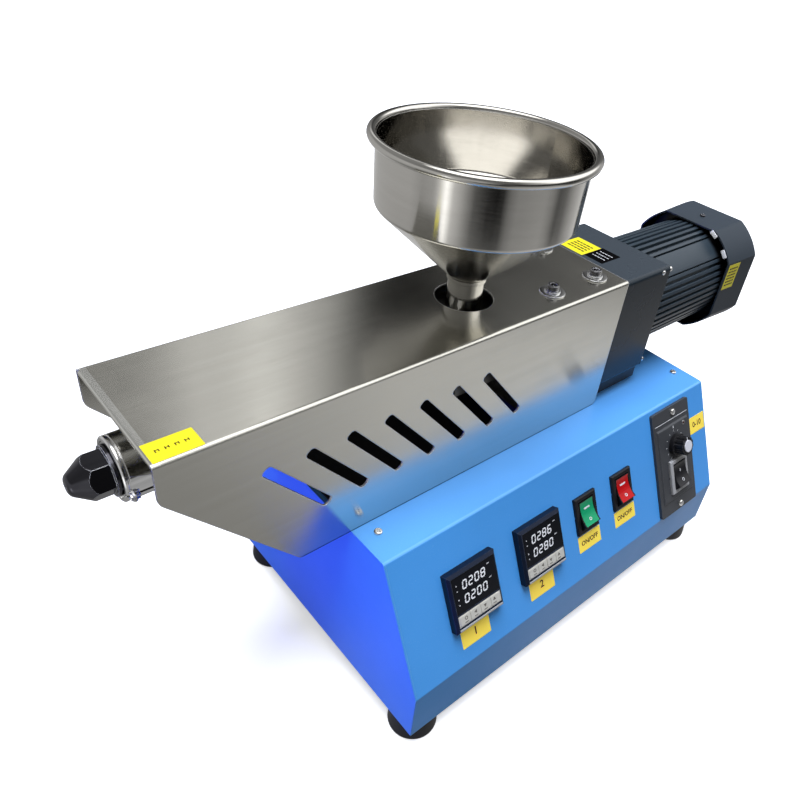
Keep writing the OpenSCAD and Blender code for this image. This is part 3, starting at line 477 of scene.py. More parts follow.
def makeMetal(name, bright, dull, rough, fineness=brushSet["fineness"], lines=0.03, rub=0.0, aniso=0.0,
              spunAt=None, edgeHighlight=0.0, soft=edgeSet["radius"], hem=None, foot=None):
    made, tree, shader, vector = startFinish(name)
    lay = vector
    if spunAt is not None:
        middle = addMapping(tree, vector, place=(-spunAt[0], -spunAt[1], 0))
        lay = useGroup(tree, spinning, {"Vector": middle})["Vector"]
    brush = useGroup(tree, brushing, {"Vector": lay, "Fineness": fineness})
    edge = useGroup(tree, edgeRub, {"Vector": vector, "Radius": soft * mm})
    body = addMix(tree, brush["Bands"], bright, dull)
    metallic = 1.0
    if rub > 0:
        # edge wear, pale enough that it also stands as a painted highlight along metal edges
        body = addMix(tree, addProduct(tree, edge["Edge"], rub), body, metalSet["rubAndHighlightColor"])
    # painted highlight along the hemmed end of the cover
    if hem is not None:
        body = addMix(tree, hem(tree, vector), body, metalSet["hemColor"])
    if edgeHighlight > 0:  # painted highlight: edges made pale and less metallic, as if they catch the light
        highlightShare = addProduct(tree, edge["Full"], edgeHighlight)
        body = addMix(tree, highlightShare, body, metalSet["edgeHighlightColor"])
        metallic = addMath(tree, "SUBTRACT", 1.0, highlightShare)
    if foot is not None:
        body = addMix(tree, foot(tree, vector), body, metalSet["footColor"])
    smooth, coarse = metalSet["smooth"], metalSet["coarse"]
    smudged = addRange(tree, brush["Smudge"], 0, 1, -smooth, coarse)
    grain = addRange(tree, brush["Lines"], 0, 1, rough - smooth, rough + coarse)
    setInputs(tree, shader, {
        "Base Color": body,
        "Metallic": metallic,
        "Roughness": addMath(tree, "ADD", grain, smudged),
        "Anisotropic": aniso,
        "Anisotropic Rotation": 0.0 if spunAt is None else metalSet["spunTurn"],
        "Normal": addBump(tree, brush["Lines"], lines, metalSet["deep"] * mm, edge["Normal"]),
    })
    if aniso > 0:
        axis = "X" if spunAt is None else "Z"
        tangent = addNode(tree, "Tangent", {}, direction_type="RADIAL", axis=axis)
        tree.links.new(tangent.outputs[0], shader.inputs["Tangent"])
    return made


def makePlastic(name, color, rough, grainScale=1400.0, grain=0.04, wear=(0.3, 0.3, 0.3), rub=0.12,
                dark=None, ledAndPaintedGlow=0.0, shine=0.4):
    made, tree, shader, vector = startFinish(name)
    coat = useGroup(tree, coatPeel, {"Vector": vector, "Peel Scale": grainScale})
    edge = useGroup(tree, edgeRub, {"Vector": vector, "Break": plasticSet["breakScale"]})
    pale = tuple(min(1, c * plasticSet["paleShare"] + plasticSet["paleLift"]) for c in color)
    body = addMix(tree, coat["Mottle"], color, pale)
    body = addMix(tree, addProduct(tree, edge["Edge"], rub), body, wear)
    if dark is not None:
        body = addMix(tree, dark(tree, vector), body, plasticSet["darkColor"])
    smooth, coarse = plasticSet["smooth"], plasticSet["coarse"]
    setInputs(tree, shader, {
        "Base Color": body,
        "Specular IOR Level": shine,
        "Roughness": addRange(tree, coat["Mottle"], 0, 1, rough - smooth, rough + coarse),
        "Normal": addBump(tree, coat["Height"], grain, plasticSet["deep"] * mm, edge["Normal"]),
    })
    # painted glow on tapes and tabs that are no lamp; the digits glow as lit segments
    if ledAndPaintedGlow > 0:
        setInputs(tree, shader, {"Emission Color": body, "Emission Strength": ledAndPaintedGlow})
    return made


# Masks that follow the shape of a piece

coverMaskSet = {"hem": (4.6 * mm, 0.5 * mm), "top": (1 * mm, 0.3 * mm), "foot": (0.7 * mm, 0.3 * mm)}
fanShadeMaskSet = {  # millimetres
    "wall": 1.8, "flare": 2.2, "slack": 0.3, "end": 1, "round": 7.0, "soft": 0.1, "shade": (4, 2),
}
rockerMaskSet = {"half": 9.4, "cheek": 1.3, "faceReach": 12.7, "soft": 0.05}


def coverHemHighlight(tree, vector):  # painted highlight: paler along the hemmed end of the cover, where the sheet turns over
    x, z = addSplit(tree, addMapping(tree, vector, place=(-coverLow.x, 0, -coverHigh.z)))[::2]
    hem = addWithin(tree, x, *coverMaskSet["hem"])
    return addProduct(tree, hem, addWithin(tree, z, *coverMaskSet["top"]))


def coverFoot(tree, vector):  # the shadow line where the cover stands on the cabinet
    height = addSplit(tree, addMapping(tree, vector, place=(0, 0, -coverLow.z)))[2]
    return addWithin(tree, height, *coverMaskSet["foot"])


def fanInnerShade(tree, vector):  # painted shade: 1 on the inner faces of the fan cover, which are blackened as the shade inside it
    thick = fanShadeMaskSet["flare"] + fanShadeMaskSet["wall"] - fanShadeMaskSet["slack"]
    flat = (fanHigh.z - fanLow.z) / 2 - thick * mm
    depth = fanHigh.x - fanLow.x - fanShadeMaskSet["end"] * mm
    x, y, z = addSplit(tree, addMapping(tree, vector, place=(-fanLow.x, -axisY, -motorZ)))
    inner = addMath(tree, "LESS_THAN", x, depth)
    within = addMath(tree, "LESS_THAN", addReach(tree, y, z), flat + fanShadeMaskSet["round"] * mm)
    inner = addProduct(tree, inner, within)
    for side in (y, z):
        inner = addProduct(tree, inner, addWithin(tree, side, flat, fanShadeMaskSet["soft"] * mm))
    return inner


def motorShadeInFan(tree, vector):  # painted shade: 1 on the part of the motor that lies inside the fan cover, blackened as shade
    before, after = fanShadeMaskSet["shade"]
    return addRange(tree, addSplit(tree, vector)[0], fanLow.x - before * mm, fanLow.x + after * mm)


def rockerCheeks(jointName):  # 1 on the sides and ends of a rocker, 0 on its lit face
    pin = Vector(joints[jointName]["pos_m"])
    half = (rockerMaskSet["half"] - rockerMaskSet["cheek"]) * mm

    def mask(tree, vector):
        x, y, z = addSplit(tree, addMapping(tree, vector, place=-pin))
        face = addWithin(tree, x, half, rockerMaskSet["soft"] * mm)
        within = addMath(tree, "LESS_THAN", addReach(tree, y, z), rockerMaskSet["faceReach"] * mm)
        return addMath(tree, "SUBTRACT", 1.0, addProduct(tree, face, within))

    return mask


hopperAxis = (hopperX, axisY)
# painted highlight: the way halfway between the cabinet top and the panel, where the blue paint is made paler
foldHighlightWay = (panelOut + Vector((0, 0, 1))).normalized()
cast = {"peelScale": 600.0, "speck": 0.03}
# painted highlight along the panel's upper edge and painted sheen on upward faces, besides the paint's own
# wear
bluePaint = makePaint(
    "bluePaint", (0.088, 0.41, 0.95), (0.34, 0.70, 1.0), 0.34, rub=0.45, shine=0.3, foldHighlight=foldHighlightWay, dustAndSheen=0.075)
slatePaint = makePaint(
    "slatePaint", (0.019, 0.029, 0.038), (0.14, 0.17, 0.20), 0.26, shine=0.16, rub=0.25, peel=0.03,
    # painted sheen: the gearbox's upward faces are made paler, as dust and as lit tops
    dustAndSheen=0.055, **cast)
fanPaint = makePaint(
    "fanPaint", (0.048, 0.060, 0.072), (0.14, 0.17, 0.20), 0.46, shine=0.12, rub=0.35, dark=fanInnerShade, **cast)
motorPaint = makePaint(
    "motorPaint", (0.036, 0.053, 0.067), (0.13, 0.16, 0.19), 0.34, shine=0.25, rub=0.35,
    dark=motorShadeInFan, **cast)
blackPaint = makePaint("blackPaint", (0.012, 0.012, 0.014), (0.10, 0.10, 0.10), 0.45, rub=0.3)

stainless = makeMetal(
    "stainless", (0.61, 0.60, 0.55), (0.585, 0.575, 0.525), 0.16, lines=0.004, aniso=0.9, rub=0.6,
    edgeHighlight=1.0, soft=1.3, hem=coverHemHighlight, foot=coverFoot)
spunStainless = makeMetal(
    "spunStainless", (0.60, 0.585, 0.55), (0.565, 0.55, 0.515), 0.11, fineness=1600.0, lines=0.004,
    aniso=0.8, spunAt=hopperAxis, rub=0.5)
machinedSteel = makeMetal(
    "machinedSteel", (0.30, 0.30, 0.29), (0.22, 0.22, 0.21), 0.38, fineness=900.0, lines=0.1, rub=0.3)
bandChrome = makeMetal("bandChrome", (0.86, 0.86, 0.86), (0.74, 0.74, 0.74), 0.09, lines=0.02, rub=0.6)
blackOxide = makeMetal(
    "blackOxide", (0.085, 0.085, 0.098), (0.065, 0.065, 0.076), 0.09, lines=0.01, rub=0.6, edgeHighlight=0.85)
boltSteel = makeMetal(
    "boltSteel", (0.26, 0.26, 0.27), (0.18, 0.18, 0.19), 0.07, lines=0.01, rub=0.6, edgeHighlight=1.0, soft=0.9)
zincSteel = makeMetal(
    "zincSteel", (0.80, 0.80, 0.79), (0.66, 0.66, 0.65), 0.07, lines=0.01, rub=0.5, edgeHighlight=0.85, soft=0.7)

turnedAluminium = makePlastic(
    "turnedAluminium", (0.80, 0.81, 0.83), 0.30, grainScale=900.0, grain=0.10, wear=(1.0, 1.0, 1.0), rub=0.6)
# painted glow: the tabs give off light to look brighter
bareZinc = makePlastic(
    "bareZinc", (0.92, 0.93, 0.94), 0.30, grain=0.03, wear=(1.0, 1.0, 1.0), rub=0.4, ledAndPaintedGlow=0.15)
rubber = makePlastic("rubber", (0.010, 0.010, 0.012), 0.50, grainScale=800.0, grain=0.10, rub=0.06)
casePlastic = makePlastic(
    "casePlastic", (0.006, 0.011, 0.025), 0.32, wear=(0.25, 0.32, 0.45), rub=0.35, shine=0.12)
windowPlastic = makePlastic("windowPlastic", (0.004, 0.005, 0.008), 0.12, grain=0.01, rub=0.0, shine=0.12)
keyPlastic = makePlastic("keyPlastic", (0.66, 0.64, 0.56), 0.5, wear=(0.8, 0.8, 0.75))
switchPlastic = makePlastic("switchPlastic", (0.010, 0.010, 0.012), 0.28, rub=0.2, shine=0.2)
plateGrey = makePlastic(
    "plateGrey", (0.052, 0.055, 0.059), 0.42, grainScale=1800.0, grain=0.10, wear=(0.40, 0.40, 0.41),
    rub=0.4, shine=0.25)
frameGrey = makePlastic("frameGrey", (0.42, 0.42, 0.41), 0.34, wear=(0.8, 0.8, 0.8), rub=0.6)
knobPlastic = makePlastic("knobPlastic", (0.009, 0.009, 0.010), 0.30, rub=0.25, shine=0.25)
lens = {"grain": 0.02, "rub": 0.3, "shine": 0.15}
greenLens = makePlastic(
    "greenLens", (0.010, 0.33, 0.135), 0.20, wear=(0.2, 0.7, 0.4),
    dark=rockerCheeks("green_rocker_tilt"), **lens)
redLens = makePlastic(
    "redLens", (0.50, 0.005, 0.007), 0.20, wear=(0.9, 0.2, 0.18),
    dark=rockerCheeks("red_rocker_tilt"), **lens)
# painted shade: a black sheet for the insulation_mat under the cover, so what shows through the slots stays
# dark
blackShadeSheet = makePlastic("blackShadeSheet", (0.010, 0.010, 0.012), 0.8, grainScale=900.0, grain=0.5, rub=0.0)
# painted glow: both tapes give off a little light so they look brighter than their lighting makes them
yellowTape = makePlastic(
    "yellowTape", (1.0, 0.71, 0.085), 0.40, grain=0.03, wear=(1.0, 0.94, 0.62), rub=0.7, ledAndPaintedGlow=0.26)
limeTape = makePlastic(
    "limeTape", (0.84, 0.74, 0.018), 0.40, grain=0.03, wear=(1.0, 0.95, 0.55), rub=0.6, ledAndPaintedGlow=0.08)
blackTape = makePlastic("blackTape", (0.0015, 0.0015, 0.0018), 0.40, grain=0.03, rub=0.0, shine=0.005)
ink = {"grain": 0.02, "rub": 0.0}
whiteInk = makePlastic("whiteInk", (0.82, 0.83, 0.83), 0.45, **ink)
litDigit = makePlastic("litDigit", (0.86, 0.87, 0.88), 0.40, ledAndPaintedGlow=0.15, shine=0.1, **ink)
darkInk = makePlastic("darkInk", (0.045, 0.025, 0.006), 0.55, **ink)
greyInk = makePlastic("greyInk", (0.15, 0.135, 0.11), 0.55, **ink)
redLamp = makePlastic("redLamp", (0.035, 0.012, 0.012), 0.15, grain=0.01, rub=0.0)
print("finishes mixed")


# Finishes of the frame's own pieces

finishOf = {
    bluePaint: ["cabinet_hood", "left_side_panel", "right_side_panel", "floor_plate"],
    slatePaint: ["gearbox"],
    fanPaint: ["fan_cover"],
    motorPaint: ["motor_body"],
    blackPaint: ["mounting_plate"],
    stainless: ["barrel_cover"],
    spunStainless: ["feed_hopper", "hopper_neck"],
    machinedSteel: ["barrel", "feed_block", "thrust_block"],
    bandChrome: ["front_heater_band", "rear_heater_band"],
    blackOxide: ["nozzle"],
    turnedAluminium: ["knob_cap"],
    rubber: ["rubber_feet", "cord_grommet"],
    casePlastic: ["left_controller_case", "right_controller_case"],
    windowPlastic: ["left_controller_display", "right_controller_display"],
    keyPlastic: ["left_controller_keys", "right_controller_keys"],
    switchPlastic: ["green_switch_frame", "red_switch_frame", "run_rocker"],
    plateGrey: ["speed_plate"],
    frameGrey: ["run_switch_frame"],
    knobPlastic: ["speed_knob"],
    greenLens: ["green_rocker"],
    redLens: ["red_rocker"],
    blackShadeSheet: ["insulation_mat"],
}
for finish, names in finishOf.items():
    for name in names:
        for slot in nodes[name].material_slots:
            slot.material = finish
print("frame dressed")


# Tools for modelling small pieces: each is modelled in millimetres about its own origin, then settled

smoothAngle = 32  # degrees
above = 60  # millimetres over the panel where a line down to it starts
markSink = 0.05  # millimetres that a mark lies in the face below it


def setMode(mode):
    bpy.ops.object.mode_set(mode=mode)


def startPiece():
    if bpy.context.object is not None and bpy.context.object.mode != "OBJECT":
        setMode("OBJECT")
    bpy.ops.object.select_all(action="DESELECT")


def takeUp(piece):
    startPiece()
    piece.select_set(True)
    bpy.context.view_layer.objects.active = piece


def applyMove():
    bpy.ops.object.transform_apply(location=True, rotation=True, scale=True)


def pick(piece, kind, test):  # in edit mode, selects the faces, edges or points that the test accepts
    bpy.ops.mesh.select_mode(type=kind)
    bpy.ops.mesh.select_all(action="DESELECT")
    mesh = bmesh.from_edit_mesh(piece.data)
    parts = {"FACE": mesh.faces, "EDGE": mesh.edges, "VERT": mesh.verts}[kind]
    for part in parts:
        if test(part):
            part.select_set(True)
    mesh.select_flush_mode()
    bmesh.update_edit_mesh(piece.data)


def faceOut():  # in edit mode, turns every normal outward and ends the editing
    bpy.ops.mesh.select_all(action="SELECT")
    bpy.ops.mesh.normals_make_consistent(inside=False)
    setMode("OBJECT")


def addRound(wide, high, low=0.0, sides=48):
    startPiece()
    spot = (0, 0, low + high / 2)
    bpy.ops.mesh.primitive_cylinder_add(vertices=sides, radius=wide / 2, depth=high, location=spot)
    applyMove()
    return bpy.context.object


def roundTop(piece, offset, segments):  # rounds the rim of the top face
    setMode("EDIT")
    pick(piece, "FACE", lambda face: face.normal.z > 0.9)
    bpy.ops.mesh.bevel(offset=offset, segments=segments, affect="EDGES")
    setMode("OBJECT")


def addBlock(size, spot=(0, 0, 0), turn=0.0, corner=0.0):  # stands on the spot, with round corners
    startPiece()
    bpy.ops.mesh.primitive_cube_add(size=1, location=(0, 0, size[2] / 2))
    block = bpy.context.object
    block.scale = size
    applyMove()
    if corner > 0:
        setMode("EDIT")
        pick(block, "EDGE", lambda edge: abs(edge.verts[0].co.z - edge.verts[1].co.z) > size[2] / 2)
        bpy.ops.mesh.bevel(offset=corner, segments=4, affect="EDGES")
        setMode("OBJECT")
    block.location = spot
    block.rotation_euler = (0, 0, math.radians(turn))
    applyMove()
    return block


def addRing(wide, hole, high, low=0.0, sides=48):
    ring = addRound(wide, high, low, sides)
    setMode("EDIT")
    pick(ring, "FACE", lambda face: abs(face.normal.z) > 0.9)
    bpy.ops.mesh.inset(thickness=(wide - hole) / 2)
    bpy.ops.mesh.bridge_edge_loops()
    faceOut()
    return ring


def startFlat(sides, radius, turn):  # a flat shape with equal sides, left in edit mode
    startPiece()
    turn = (0, 0, math.radians(turn))
    bpy.ops.mesh.primitive_circle_add(vertices=sides, radius=radius, fill_type="NGON", rotation=turn)
    applyMove()
    setMode("EDIT")
    return bpy.context.object


def thicken(high):  # in edit mode, gives a flat shape its thickness and ends the editing
    bpy.ops.mesh.select_all(action="SELECT")
    bpy.ops.mesh.extrude_region_move(TRANSFORM_OT_translate={"value": (0, 0, high)})
    faceOut()


def bevelEdges(piece, width, segments=2, angle=35):
    takeUp(piece)
    edge = piece.modifiers.new("edge", "BEVEL")
    edge.width = width
    edge.segments = segments
    edge.limit_method = "ANGLE"
    edge.angle_limit = math.radians(angle)
    bpy.ops.object.modifier_apply(modifier=edge.name)
    return piece


def cutWith(piece, cutter):
    takeUp(piece)
    cut = piece.modifiers.new("cut", "BOOLEAN")
    cut.operation = "DIFFERENCE"
    cut.solver = "EXACT"
    cut.object = cutter
    bpy.ops.object.modifier_apply(modifier=cut.name)
    bpy.data.objects.remove(cutter)


def joinAll(pieces):
    takeUp(pieces[0])
    for piece in pieces:
        piece.select_set(True)
    bpy.ops.object.join()
    return bpy.context.object


def copyOf(piece, place=None):
    takeUp(piece)
    bpy.ops.object.duplicate(linked=False)
    twin = bpy.context.object
    if place is not None:
        twin.matrix_world = place
        applyMove()
    return twin


def settle(piece, name, finish, place, body="machine"):
    takeUp(piece)
    piece.name = name
    piece.matrix_world = place @ Matrix.Scale(mm, 4)
    applyMove()
    bpy.ops.object.shade_smooth_by_angle(angle=math.radians(smoothAngle))
    piece.data.materials.clear()
    piece.data.materials.append(finish)
    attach(piece, body)


def settleEach(model, name, finish, places):
    for index, place in enumerate(places):
        piece = model if index == len(places) - 1 else copyOf(model)
        settle(piece, name + str(index + 1), finish, place)


def at(x, y, z):  # a place measured from the left end, the panel's upper edge and the top of the cabinet
    return Vector((leftX + x * mm, panelEdge.y + y * mm, topZ + z * mm))


def turned(place, degrees):
    return place @ Matrix.Rotation(math.radians(degrees), 4, "Z")


def hitOn(name, start, way):  # where a line meets a node, and the way that its surface looks there
    node = nodes[name]
    back = node.matrix_world.inverted()
    hit = node.ray_cast(back @ Vector(start), back.to_3x3() @ Vector(way).normalized())
    if not hit[0]:
        raise ValueError("nothing of " + name + " lies there")
    return node.matrix_world @ hit[1], (node.matrix_world.to_3x3() @ hit[2]).normalized()


def panelHeight(name, u, v):  # how far a node's face lies over the panel there, in millimetres
    return panelPlace(hitOn(name, onPanel(u, v, above).translation, -panelOut)[0])[2]


def panelSpan(name):  # the middle of a node on the panel, and its highest face
    spots = [panelPlace(nodes[name].matrix_world @ point.co) for point in nodes[name].data.vertices]
    u, v, out = zip(*spots)
    return (min(u) + max(u)) / 2, (min(v) + max(v)) / 2, max(out)


def sunkOn(name, start):  # a place for a mark on the face of a node that lies under the start
    spot, normal = hitOn(name, start, -panelOut)
    return facing(spot - normal * markSink * mm, normal, panelUp)


# Bolts on the barrel cover

boltSet = {
    "head": (9.4, 4.4), "round": 0.7, "socket": (5.8, 2.8), "spring": (12.4, 6.6, 1.4), "split": 1.1,
    "washer": (20.5, 6.6, 1.0), "shank": (6.0, 5.0), "back": (71.5, 19.5), "apart": 29.8, "turn": (140, 25),
    "washerEdge": 0.25, "springEdge": 0.15, "headEdge": 0.12, "shankEdge": 0.3,
}


def makeWashers():  # a split spring washer on a flat washer
    washer = bevelEdges(addRing(*boltSet["washer"]), boltSet["washerEdge"])
    low = boltSet["washer"][2]
    wide, hole, thick = boltSet["spring"]
    spring = addRing(wide, hole, thick, low)
    cutWith(spring, addBlock((wide, boltSet["split"], thick * 3), (wide / 2, 0, low - thick)))
    return joinAll([bevelEdges(spring, boltSet["springEdge"]), washer])


def makeBolt():  # a socket head that sits on the washers, and its shank
    low = boltSet["washer"][2] + boltSet["spring"][2]
    wide, high = boltSet["head"]
    head = addRound(wide, high, low)
    roundTop(head, boltSet["round"], 3)
    socketWide, socketDeep = boltSet["socket"]
    cutWith(head, addRound(socketWide, socketDeep + 1, low + high - socketDeep, 6))
    bevelEdges(head, boltSet["headEdge"])
    shankWide, shankLong = boltSet["shank"]
    shank = addRound(shankWide, shankLong, low - shankLong, 32)
    return joinAll([head, bevelEdges(shank, boltSet["shankEdge"])])


boltPlaces = []
firstTurn, sideTurn = boltSet["turn"]
for back in boltSet["back"]:
    for side in (-1, 1):
        spot = Vector((coverHigh.x - back * mm, axisY + side * boltSet["apart"] * mm, coverHigh.z))
        boltPlaces.append(turned(Matrix.Translation(spot), firstTurn + sideTurn * side + back))
settleEach(makeWashers(), "coverWasher", zincSteel, boltPlaces)
settleEach(makeBolt(), "coverBolt", boltSteel, boltPlaces)
print("cover bolts set")


# Pan screws on the cabinet, the speed plate, the gearbox and the fan cover

screwSet = {  # turn is that of the first screw, and what each further screw adds, in degrees
    "cabinet": {
        "wide": 6.6, "high": 2.3, "turn": (20, 37), "at": [(14.5, 24.8), (379, 25), (14.5, 176), (379, 176)],
    },
    "plate": {"wide": 6.4, "high": 2.4, "turn": (25, 50), "at": [(334.2, 10.9), (333.4, 105.6)]},
    "gear": {"wide": 4.4, "high": 1.2, "turn": (30, 0), "in": (10.7, 3.3)},
    "flange": {"wide": 5.2, "high": 6.0, "turn": (15, 0), "in": (3.6, 5.0)},
    "fan": {"wide": 5.4, "high": 2.0, "turn": (12, 0), "back": 20.0, "from": 0.2},
}
panSet = {"dome": (0.62, 0.24), "cross": (0.60, 0.15), "crossLow": 0.45, "edge": 0.06}  # shares of a head


def makeScrew(wide, high):  # a domed head with a cross recess
    head = addRound(wide, high, 0.0, 40)
    roundTop(head, min(high * panSet["dome"][0], wide * panSet["dome"][1]), 4)
    long, narrow = panSet["cross"]
    for turn in (0, 90):
        cutWith(head, addBlock((wide * long, wide * narrow, high), (0, 0, high * panSet["crossLow"]), turn))
    return bevelEdges(head, panSet["edge"], 1)


def setScrews(kind, places, finish=zincSteel):
    screw = screwSet[kind]
    first, step = screw["turn"]
    places = [turned(place, first + step * index) for index, place in enumerate(places)]
    settleEach(makeScrew(screw["wide"], screw["high"]), kind + "Screw", finish, places)


setScrews("cabinet", [Matrix.Translation(at(x, y, 0)) for x, y in screwSet["cabinet"]["at"]])

plateHigh = panelHeight("speed_plate", *screwSet["plate"]["at"][0])
setScrews("plate", [onPanel(u, v, plateHigh) for u, v in screwSet["plate"]["at"]])

gearPlaces = []
fromEnd, fromTop = screwSet["gear"]["in"]
for side, y in ((-1, gearLow.y), (1, gearHigh.y)):
    spot = (gearHigh.x - fromEnd * mm, y, gearHigh.z - fromTop * mm)
    gearPlaces.append(facing(spot, (0, side, 0), (0, 0, 1)))
setScrews("gear", gearPlaces)

flangePlaces = []
inSide, inTop = screwSet["flange"]["in"]
for y in (gearLow.y + inSide * mm, gearHigh.y - inSide * mm):
    for z in (gearHigh.z - inTop * mm, gearLow.z + inTop * mm):
        flangePlaces.append(facing((gearHigh.x, y, z), (1, 0, 0), (0, 0, 1)))
setScrews("flange", flangePlaces)

fanPlaces = []
for side in (1, -1):
    way = Vector((0, 0, side))
    start = Vector((fanLow.x + screwSet["fan"]["back"] * mm, axisY, motorZ)) + way * screwSet["fan"]["from"]
    fanPlaces.append(facing(*hitOn("fan_cover", start, -way), (1, 0, 0)))
setScrews("fan", fanPlaces, blackOxide)
print("screws set")


# Bright tabs that hold the fan cover to the motor's end

tabSet = {
    "size": (8.2, 4.0, 1.0), "corner": 0.8, "edge": 0.15, "foot": 7.0, "footShare": 0.8,
    "reach": 56.4, "angles": (39, 61), "in": 0.4,
}


def makeTab():  # a small bent clip: a face on the rim and a foot that goes inside
    wide, tall, thick = tabSet["size"]
    face = addBlock((wide, tall, thick), corner=tabSet["corner"])
    footSize = (wide * tabSet["footShare"], thick, tabSet["foot"])
    foot = addBlock(footSize, (0, -tall / 2 + thick / 2, -tabSet["foot"]))
    return bevelEdges(joinAll([face, foot]), tabSet["edge"])


tabPlaces = []
for half in range(2):
    for angle in tabSet["angles"]:
        turn = math.radians(angle + 180 * half)
        way = Vector((0, -math.cos(turn), math.sin(turn)))
        spot = Vector((fanLow.x + tabSet["in"] * mm, axisY, motorZ)) + way * tabSet["reach"] * mm
        tabPlaces.append(facing(spot, (-1, 0, 0), way))
settleEach(makeTab(), "fanTab", bareZinc, tabPlaces)
print("fan tabs set")


# Labels: plain tapes with ruled bars or plain numbers

tapeSet = {"thick": 0.16, "corner": 0.7, "edge": 0.05}
printThick = 0.07
printBold = 0.16
printLow = tapeSet["thick"] - 0.02
ruleSet = {"short": 0.12, "spread": 0.09, "gap": 0.035, "tall": 0.6}  # shares of the printed field


def addTape(name, wide, tall, finish, place):
    tape = addBlock((wide, tall, tapeSet["thick"]), corner=min(tapeSet["corner"], tall / 8))
    settle(bevelEdges(tape, tapeSet["edge"], 1), name, finish, place)


def addPrint(name, bars, finish, place):  # bars are (x, y, width, height)
    pieces = [addBlock((w, h, printThick), (x, y, printLow), corner=min(w, h) * 0.3) for x, y, w, h in bars]
    settle(joinAll(pieces), name, finish, place)


def addWords(name, words, size, finish, place, low=printLow):
    startPiece()
    bpy.ops.object.text_add()
    text = bpy.context.object.data
    text.body = words
    text.size = size
    text.align_x = "CENTER"
    text.align_y = "CENTER"
    text.offset = printBold
    text.extrude = printThick / 2
    text.resolution_u = 3
    bpy.ops.object.convert(target="MESH")
    piece = bpy.context.object
    piece.location = (0, 0, low + printThick / 2)
    applyMove()
    settle(piece, name, finish, place)


def ruled(wide, tall, rows, fill, first):  # uneven bars in rows, as printed lines look from afar
    bars = []
    for row in range(rows):
        y = tall * 0.5 - (row + 0.5) * tall / rows
        x = -wide / 2
        step = 0
        while x < wide / 2 - 1:
            uneven = (first * 7 + row * 5 + step * 3) % 5
            length = wide * (ruleSet["short"] + ruleSet["spread"] * uneven / 4)
            length = min(length, wide / 2 - x)
            bars.append((x + length / 2, y, length, tall / rows * fill * ruleSet["tall"]))
            x += length + wide * ruleSet["gap"]
            step += 1
    return bars


panelTapeSet = [
    {"name": "greenSwitchTape", "u": (187.7, 216.8), "v": (74.0, 89.0), "words": "ON/OFF", "size": 6.0},
    {"name": "redSwitchTape", "u": (237.6, 266.9), "v": (74.0, 88.8), "words": "ON/OFF", "size": 6.0},
    {"name": "leftControllerTape", "u": (49.5, 78.5), "v": (82.0, 99.5), "words": "1", "size": 9.5},
    {"name": "rightControllerTape", "u": (124.2, 153.0), "v": (82.0, 100.2), "words": "2", "size": 9.5},
    {"name": "speedTape", "u": (364.5, 390.5), "v": (30.4, 47.6), "words": "0-10", "size": 8.0},
]
for tape in panelTapeSet:
    place = onPanel(sum(tape["u"]) / 2, sum(tape["v"]) / 2)
    wide = tape["u"][1] - tape["u"][0]
    tall = tape["v"][1] - tape["v"][0]
    addTape(tape["name"], wide, tall, yellowTape, place)
    addWords(tape["name"] + "Words", tape["words"], tape["size"], darkInk, place)

flatTapeSet = [  # a tape with no rows carries four plain signs
    {"name": "gearTape", "x": (273, 300), "y": (91, 117.5), "z": 123.4, "rows": 4, "fill": 0.8},
    {"name": "gearPlate", "x": (276, 302), "y": (71, 91), "z": 123.4, "rows": 3, "fill": 0.3},
    {"name": "coverTape", "x": (-123.6, -95.4), "y": (38.4, 55), "z": 124.2, "rows": 0},
]
fieldShare = (0.72, 0.62)  # how much of a tape the ruled bars take
signSet = {"count": 4, "first": -0.29, "pitch": 0.19, "drop": 0.5}  # shares of the tape, and millimetres
signBars = ((-1.0, 0, 0.6, 2.4), (0.9, 0.2, 0.6, 2.0), (0, 0.7, 2.2, 0.5))


def signed(wide):  # plain signs of two strokes and a crossbar that lies lower on every second one
    bars = []
    for index in range(signSet["count"]):
        middle = wide * (signSet["first"] + signSet["pitch"] * index)
        for x, y, w, h in signBars:
            drop = signSet["drop"] * (index % 2) if w > h else 0
            bars.append((middle + x, y - drop, w, h))
    return bars


for tape in flatTapeSet:
    wide = tape["x"][1] - tape["x"][0]
    tall = tape["y"][1] - tape["y"][0]
    place = Matrix.Translation(at(sum(tape["x"]) / 2, sum(tape["y"]) / 2, tape["z"]))
    dark = tape["name"] == "gearPlate"
    addTape(tape["name"], wide, tall, blackTape if dark else limeTape, place)
    if tape["rows"] == 0:
        bars = signed(wide)
    else:
        place = turned(place, 90)
        field = (tall * fieldShare[0], wide * fieldShare[1])
        bars = ruled(*field, tape["rows"], tape["fill"], len(tape["name"]))
    addPrint(tape["name"] + "Print", bars, whiteInk if dark else darkInk, place)

fanTapeSet = {"from": (450, -60, 84.5), "size": (19, 27), "field": (14.5, 21), "rows": 6, "fill": 0.8}
place = facing(*hitOn("fan_cover", at(*fanTapeSet["from"]), (0, 1, 0)), (0, 0, 1))
addTape("fanTape", *fanTapeSet["size"], limeTape, place)
fanBars = ruled(*fanTapeSet["field"], fanTapeSet["rows"], fanTapeSet["fill"], 4)
addPrint("fanTapePrint", fanBars, darkInk, place)
print("labels laid")


# Controllers: lit digits, small marks, key marks and a painted highlight on the case's lower bevel

